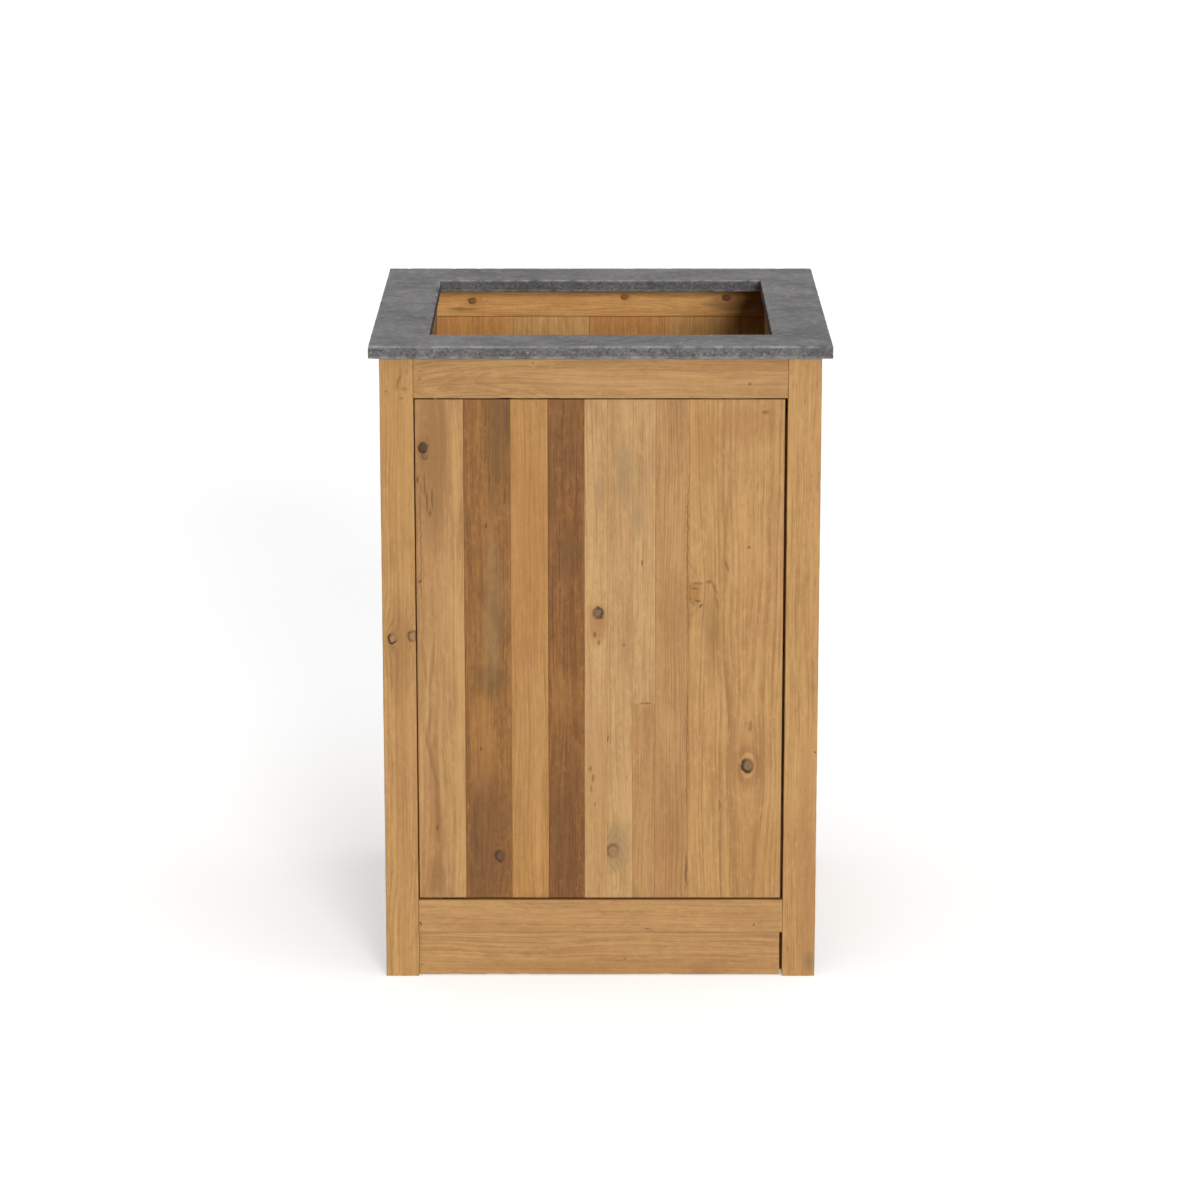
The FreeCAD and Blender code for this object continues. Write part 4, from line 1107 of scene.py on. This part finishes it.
class CABINET_OT_worktop(bpy.types.Operator):
    """Makes the stone slab with its cut-out and pitted edges"""

    bl_idname = "cabinet.worktop"
    bl_label = "Worktop"

    def execute(self, context):
        settings = context.scene.cabinet_stone
        (x0, y0, bottom), (x1, y1, top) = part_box("worktop")
        outside = np.array([x0, y0, x1, y1])
        corners = np.array([vert.co[:] for vert in frame["nodes"]["worktop"].data.vertices])
        rim = corners[inside(corners, outside) > HOLE_MARGIN]
        hole = np.array([*rim[:, :Z].min(0), *rim[:, :Z].max(0)])
        points, faces = slab_net(slab_rows(outside, hole, bottom, top, settings.rounding))
        mesh = bpy.data.meshes.new("worktop_slab")
        mesh.from_pydata(points, [], faces)
        mesh.update()
        normals = np.array([n.vector[:] for n in mesh.vertex_normals])
        edge = np.minimum(inside(points, outside), -inside(points, hole))
        face = np.minimum(top - points[:, Z], points[:, Z] - bottom)
        raw = part_of(edge, RAW_REACH, 0.0)
        arris = raw * part_of(face, STONE_WEAR_REACH, 0.0)
        broad = rough_noise(points, (70.0, 70.0, 70.0), 11.3)
        small = rough_noise(points, (180.0, 180.0, 220.0), 47.9)
        pits = part_of(small, 0.05, 0.5) * (0.5 + np.clip(broad + 0.3, 0.0, 1.0))
        loss = raw * (1.0 - 0.6 * arris) * (0.5 * pits + 0.1 * np.clip(broad + 0.45, 0.0, 1.0))
        loss += 0.12 * arris * np.clip(broad + small, 0.0, 1.0)
        depth = settings.pits * loss + HONING * (1.0 + broad)
        mesh.vertices.foreach_set("co", (points - normals * depth[:, None]).astype(np.float32).ravel())
        # The worn band along the arrises carries wear and a painted highlight.
        for name, values in (("raw", raw), ("worn", arris * np.clip(0.6 + broad, 0.0, 1.0))):
            mesh.attributes.new(name, "FLOAT", "POINT").data.foreach_set("value", values.astype(np.float32))
        mesh.update()
        mesh.shade_smooth()
        add_piece("worktop_slab", mesh, bluestone("worktop_stone"), ["worktop"])
        return {"FINISHED"}


# The flats of a plain screw lie at this share of its corners' radius, and a turned one stays inside them.
FLATS = math.cos(math.pi / 8)
HEAD_FIT, SHANK_FIT = 0.985, 0.97
# Brim, half slot and slot depth as shares of the head; step and root of the thread as shares of the shank.
BRIM, HALF_SLOT, SLOT_DEPTH = 0.96, 0.13, 0.42
THREAD_STEP, THREAD_ROOT = 0.45, 0.78
# Points round half a screw, and the shoulder below the head as a share of its depth.
HALF_TURN = 8
SHOULDER = 1.05


def islands(bm):
    """The groups of joined corners of a mesh, each as an array of places."""
    left = set(bm.verts)
    while left:
        todo = [left.pop()]
        group = []
        while todo:
            vert = todo.pop()
            group.append(vert.co[:])
            for edge in vert.link_edges:
                far = edge.other_vert(vert)
                if far in left:
                    left.remove(far)
                    todo.append(far)
        yield np.array(group)


def slotted_head(bm, brim, floor):
    """Adds the two halves of a head from the brim down to the floor of the slot between them."""
    bm.faces.new(brim[:HALF_TURN])
    bm.faces.new(brim[HALF_TURN:])
    bm.faces.new((floor[0], floor[HALF_TURN - 1], floor[HALF_TURN], floor[-1]))
    for first in (0, HALF_TURN):
        last = first + HALF_TURN - 1
        bm.faces.new((brim[first], brim[last], floor[last], floor[first]))
        for i in range(first, last):
            bm.faces.new((brim[i], brim[i + 1], floor[i + 1], floor[i]))


def turned_screw(bm, group, turn):
    """Adds a screw with a slotted head and a thread in the room of a plain one."""
    low, high = group.min(0), group.max(0)
    axis = int(np.argmax(high - low))
    middle = (low + high) / 2
    across = [i for i in range(3) if i != axis]
    ends = [np.abs(group[np.abs(group[:, axis] - end) < SAME][:, across] - middle[across]).max()
            for end in (low[axis], high[axis])]
    sign = 1.0 if ends[1] > ends[0] else -1.0
    top = high[axis] if sign > 0 else low[axis]
    length = high[axis] - low[axis]
    head = max(ends) * FLATS * HEAD_FIT
    shank = min(ends) * FLATS * SHANK_FIT
    away = np.abs(group[:, axis] - top)
    head_depth = away[away > SAME].min()
    lean = math.asin(HALF_SLOT)
    half = np.linspace(lean, math.pi - lean, HALF_TURN)
    angles = [*half, *(half + math.pi)]
    count = len(angles)

    def ring(radius, depth):
        made = []
        for angle in angles:
            place = np.array(middle)
            place[axis] = top - sign * depth
            place[across[0]] += radius * math.cos(angle + turn)
            place[across[1]] += radius * math.sin(angle + turn)
            made.append(bm.verts.new(place))
        return made

    brim = ring(head * BRIM, 0.0)
    floor = ring(head * BRIM, head_depth * SLOT_DEPTH)
    slotted_head(bm, brim, floor)
    depth = head_depth * SHOULDER
    rings = [floor, ring(head, head_depth * 0.5), ring(head, head_depth), ring(shank, depth)]
    while depth < length - 5 * shank:
        depth += shank * THREAD_STEP
        rings.append(ring(shank * (THREAD_ROOT if len(rings) % 2 else 1.0), depth))
    rings.append(ring(shank * 0.12, length - shank * 0.02))
    for upper, lower in zip(rings, rings[1:]):
        for i in range(count):
            bm.faces.new((upper[i], upper[(i + 1) % count], lower[(i + 1) % count], lower[i]))
    bm.faces.new(rings[-1])


class CABINET_OT_screws(bpy.types.Operator):
    """Makes turned screws with slotted heads in place of the plain ones"""

    bl_idname = "cabinet.screws"
    bl_label = "Screws"

    def execute(self, context):
        steel = metal("screw_zinc", context.scene.cabinet_fittings.steel, Z, 0.36, 0.5)
        for node in ("bearer_screws", "ledge_screws", "frame_fine_screws", "door_fine_screws"):
            plain, turned = bmesh.new(), bmesh.new()
            plain.from_mesh(frame["nodes"][node].data)
            bmesh.ops.remove_doubles(plain, verts=plain.verts, dist=WELD)
            draw = random.Random(node)
            for group in sorted(islands(plain), key=lambda found: tuple(found.mean(0).round(4))):
                turned_screw(turned, group, draw.uniform(0.0, math.pi))
            bmesh.ops.recalc_face_normals(turned, faces=turned.faces)
            mesh = bpy.data.meshes.new(node + "_turned")
            turned.to_mesh(mesh)
            plain.free()
            turned.free()
            mesh.shade_smooth()
            mesh.set_sharp_from_angle(angle=0.6)
            add_piece(node + "_turned", mesh, steel, [node])
        return {"FINISHED"}


class CABINET_OT_fittings(bpy.types.Operator):
    """Finishes the hinge leaves, washers and latch, which keep their solids"""

    bl_idname = "cabinet.fittings"
    bl_label = "Hinges and latch"

    def execute(self, context):
        settings = context.scene.cabinet_fittings
        finishes = {
            "hinge_brass": metal("hinge_satin_brass", settings.brass, X, 0.34, 0.6),
            "latch_steel": metal("latch_plated_steel", settings.steel, Y, 0.3, 0.35),
            "latch_plastic": moulded("latch_moulding", settings.plastic),
        }
        for solid in frame["nodes"].values():
            slot = solid.data.materials[0].name
            if slot in finishes:
                solid.data.materials[0] = finishes[slot]
                eased = solid.modifiers.new("eased", "BEVEL")
                eased.width = 0.00025
                eased.segments = 2
                eased.limit_method = "ANGLE"
                eased.angle_limit = math.radians(50)
        return {"FINISHED"}


def add_floor(settings):
    """A wide pale floor that glows a little, so that it stays bright in every view."""
    bm = bmesh.new()
    bmesh.ops.create_circle(bm, cap_ends=True, segments=96, radius=FLOOR_RADIUS)
    mesh = bpy.data.meshes.new("floor")
    bm.to_mesh(mesh)
    bm.free()
    floor = add_object("floor", mesh)
    material, place = new_material("pale_floor")
    drift = place.stretch((0.7, 0.7, 0.7), (0.0, 0.0, 0.0)).cloud(2.0)
    pale = tuple(settings.floor)
    colour = drift.rise(0.3, 0.7).between(pale, shade(pale, 0.985))
    glow = {"Specular IOR Level": 0.2, "Emission Color": pale, "Emission Strength": FLOOR_GLOW}
    surface(place, colour, drift * 0.1 + 0.6, drift, FLOOR_BUMP, glow)
    mesh.materials.append(material)


def add_lamp(name, where, strength, spread):
    """A sun that shines from a place towards the cabinet's foot."""
    light = bpy.data.lights.new(name, "SUN")
    light.energy = strength
    light.angle = spread
    lamp = add_object(name, light)
    lamp.location = where
    lamp.rotation_euler = (-Vector(where)).to_track_quat("-Z", "Y").to_euler()


class CABINET_OT_stage(bpy.types.Operator):
    """Makes the pale floor, the soft light and the camera"""

    bl_idname = "cabinet.stage"
    bl_label = "Stage"

    def execute(self, context):
        scene = context.scene
        settings = scene.cabinet_stage
        scene.view_settings.view_transform = "Standard"
        add_floor(settings)

        scene.world = bpy.data.worlds.new("studio")
        scene.world.use_nodes = True
        sky = scene.world.node_tree.nodes["Background"]
        sky.inputs["Color"].default_value = (1.0, 1.0, 1.0, 1.0)
        sky.inputs["Strength"].default_value = settings.sky
        add_lamp("key", KEY_PLACE, settings.key, settings.softness)
        add_lamp("top", TOP_PLACE, settings.top, TOP_SPREAD)

        lens = bpy.data.cameras.new("camera")
        lens.sensor_width = SENSOR_WIDTH
        lens.lens = settings.lens
        lens.clip_end = 200.0
        scene.camera = add_object("camera", lens)
        scene.camera.location = settings.place
        scene.camera.rotation_euler = (math.pi / 2 - settings.pitch, 0.0, 0.0)
        return {"FINISHED"}


OPERATORS = (
    CABINET_OT_frame, CABINET_OT_door, CABINET_OT_panels, CABINET_OT_inside, CABINET_OT_worktop,
    CABINET_OT_screws, CABINET_OT_fittings, CABINET_OT_stage,
)
SETTINGS = {
    "cabinet_pine": PineSettings,
    "cabinet_stone": StoneSettings,
    "cabinet_fittings": FittingSettings,
    "cabinet_stage": StageSettings,
}


class CABINET_PT_sidebar(bpy.types.Panel):
    """Lists the cabinet's settings and the steps that make it"""

    bl_label = "Sink Base"
    bl_idname = "CABINET_PT_sidebar"
    bl_space_type = "VIEW_3D"
    bl_region_type = "UI"
    bl_category = "Cabinet"

    def draw(self, context):
        for name, group in SETTINGS.items():
            box = self.layout.box()
            for setting in group.__annotations__:
                box.prop(getattr(context.scene, name), setting)
        for operator in OPERATORS:
            self.layout.operator(operator.bl_idname)


def register():
    for made in (*SETTINGS.values(), *OPERATORS, CABINET_PT_sidebar):
        bpy.utils.register_class(made)
    for name, group in SETTINGS.items():
        setattr(bpy.types.Scene, name, PointerProperty(type=group))


def unregister():
    for name in SETTINGS:
        delattr(bpy.types.Scene, name)
    for made in reversed((*SETTINGS.values(), *OPERATORS, CABINET_PT_sidebar)):
        bpy.utils.unregister_class(made)


def main():
    register()
    bpy.ops.cabinet.frame()
    bpy.ops.cabinet.door()
    bpy.ops.cabinet.panels()
    bpy.ops.cabinet.inside()
    bpy.ops.cabinet.worktop()
    bpy.ops.cabinet.screws()
    bpy.ops.cabinet.fittings()
    bpy.ops.cabinet.stage()
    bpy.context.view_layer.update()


if __name__ == "__main__":
    main()
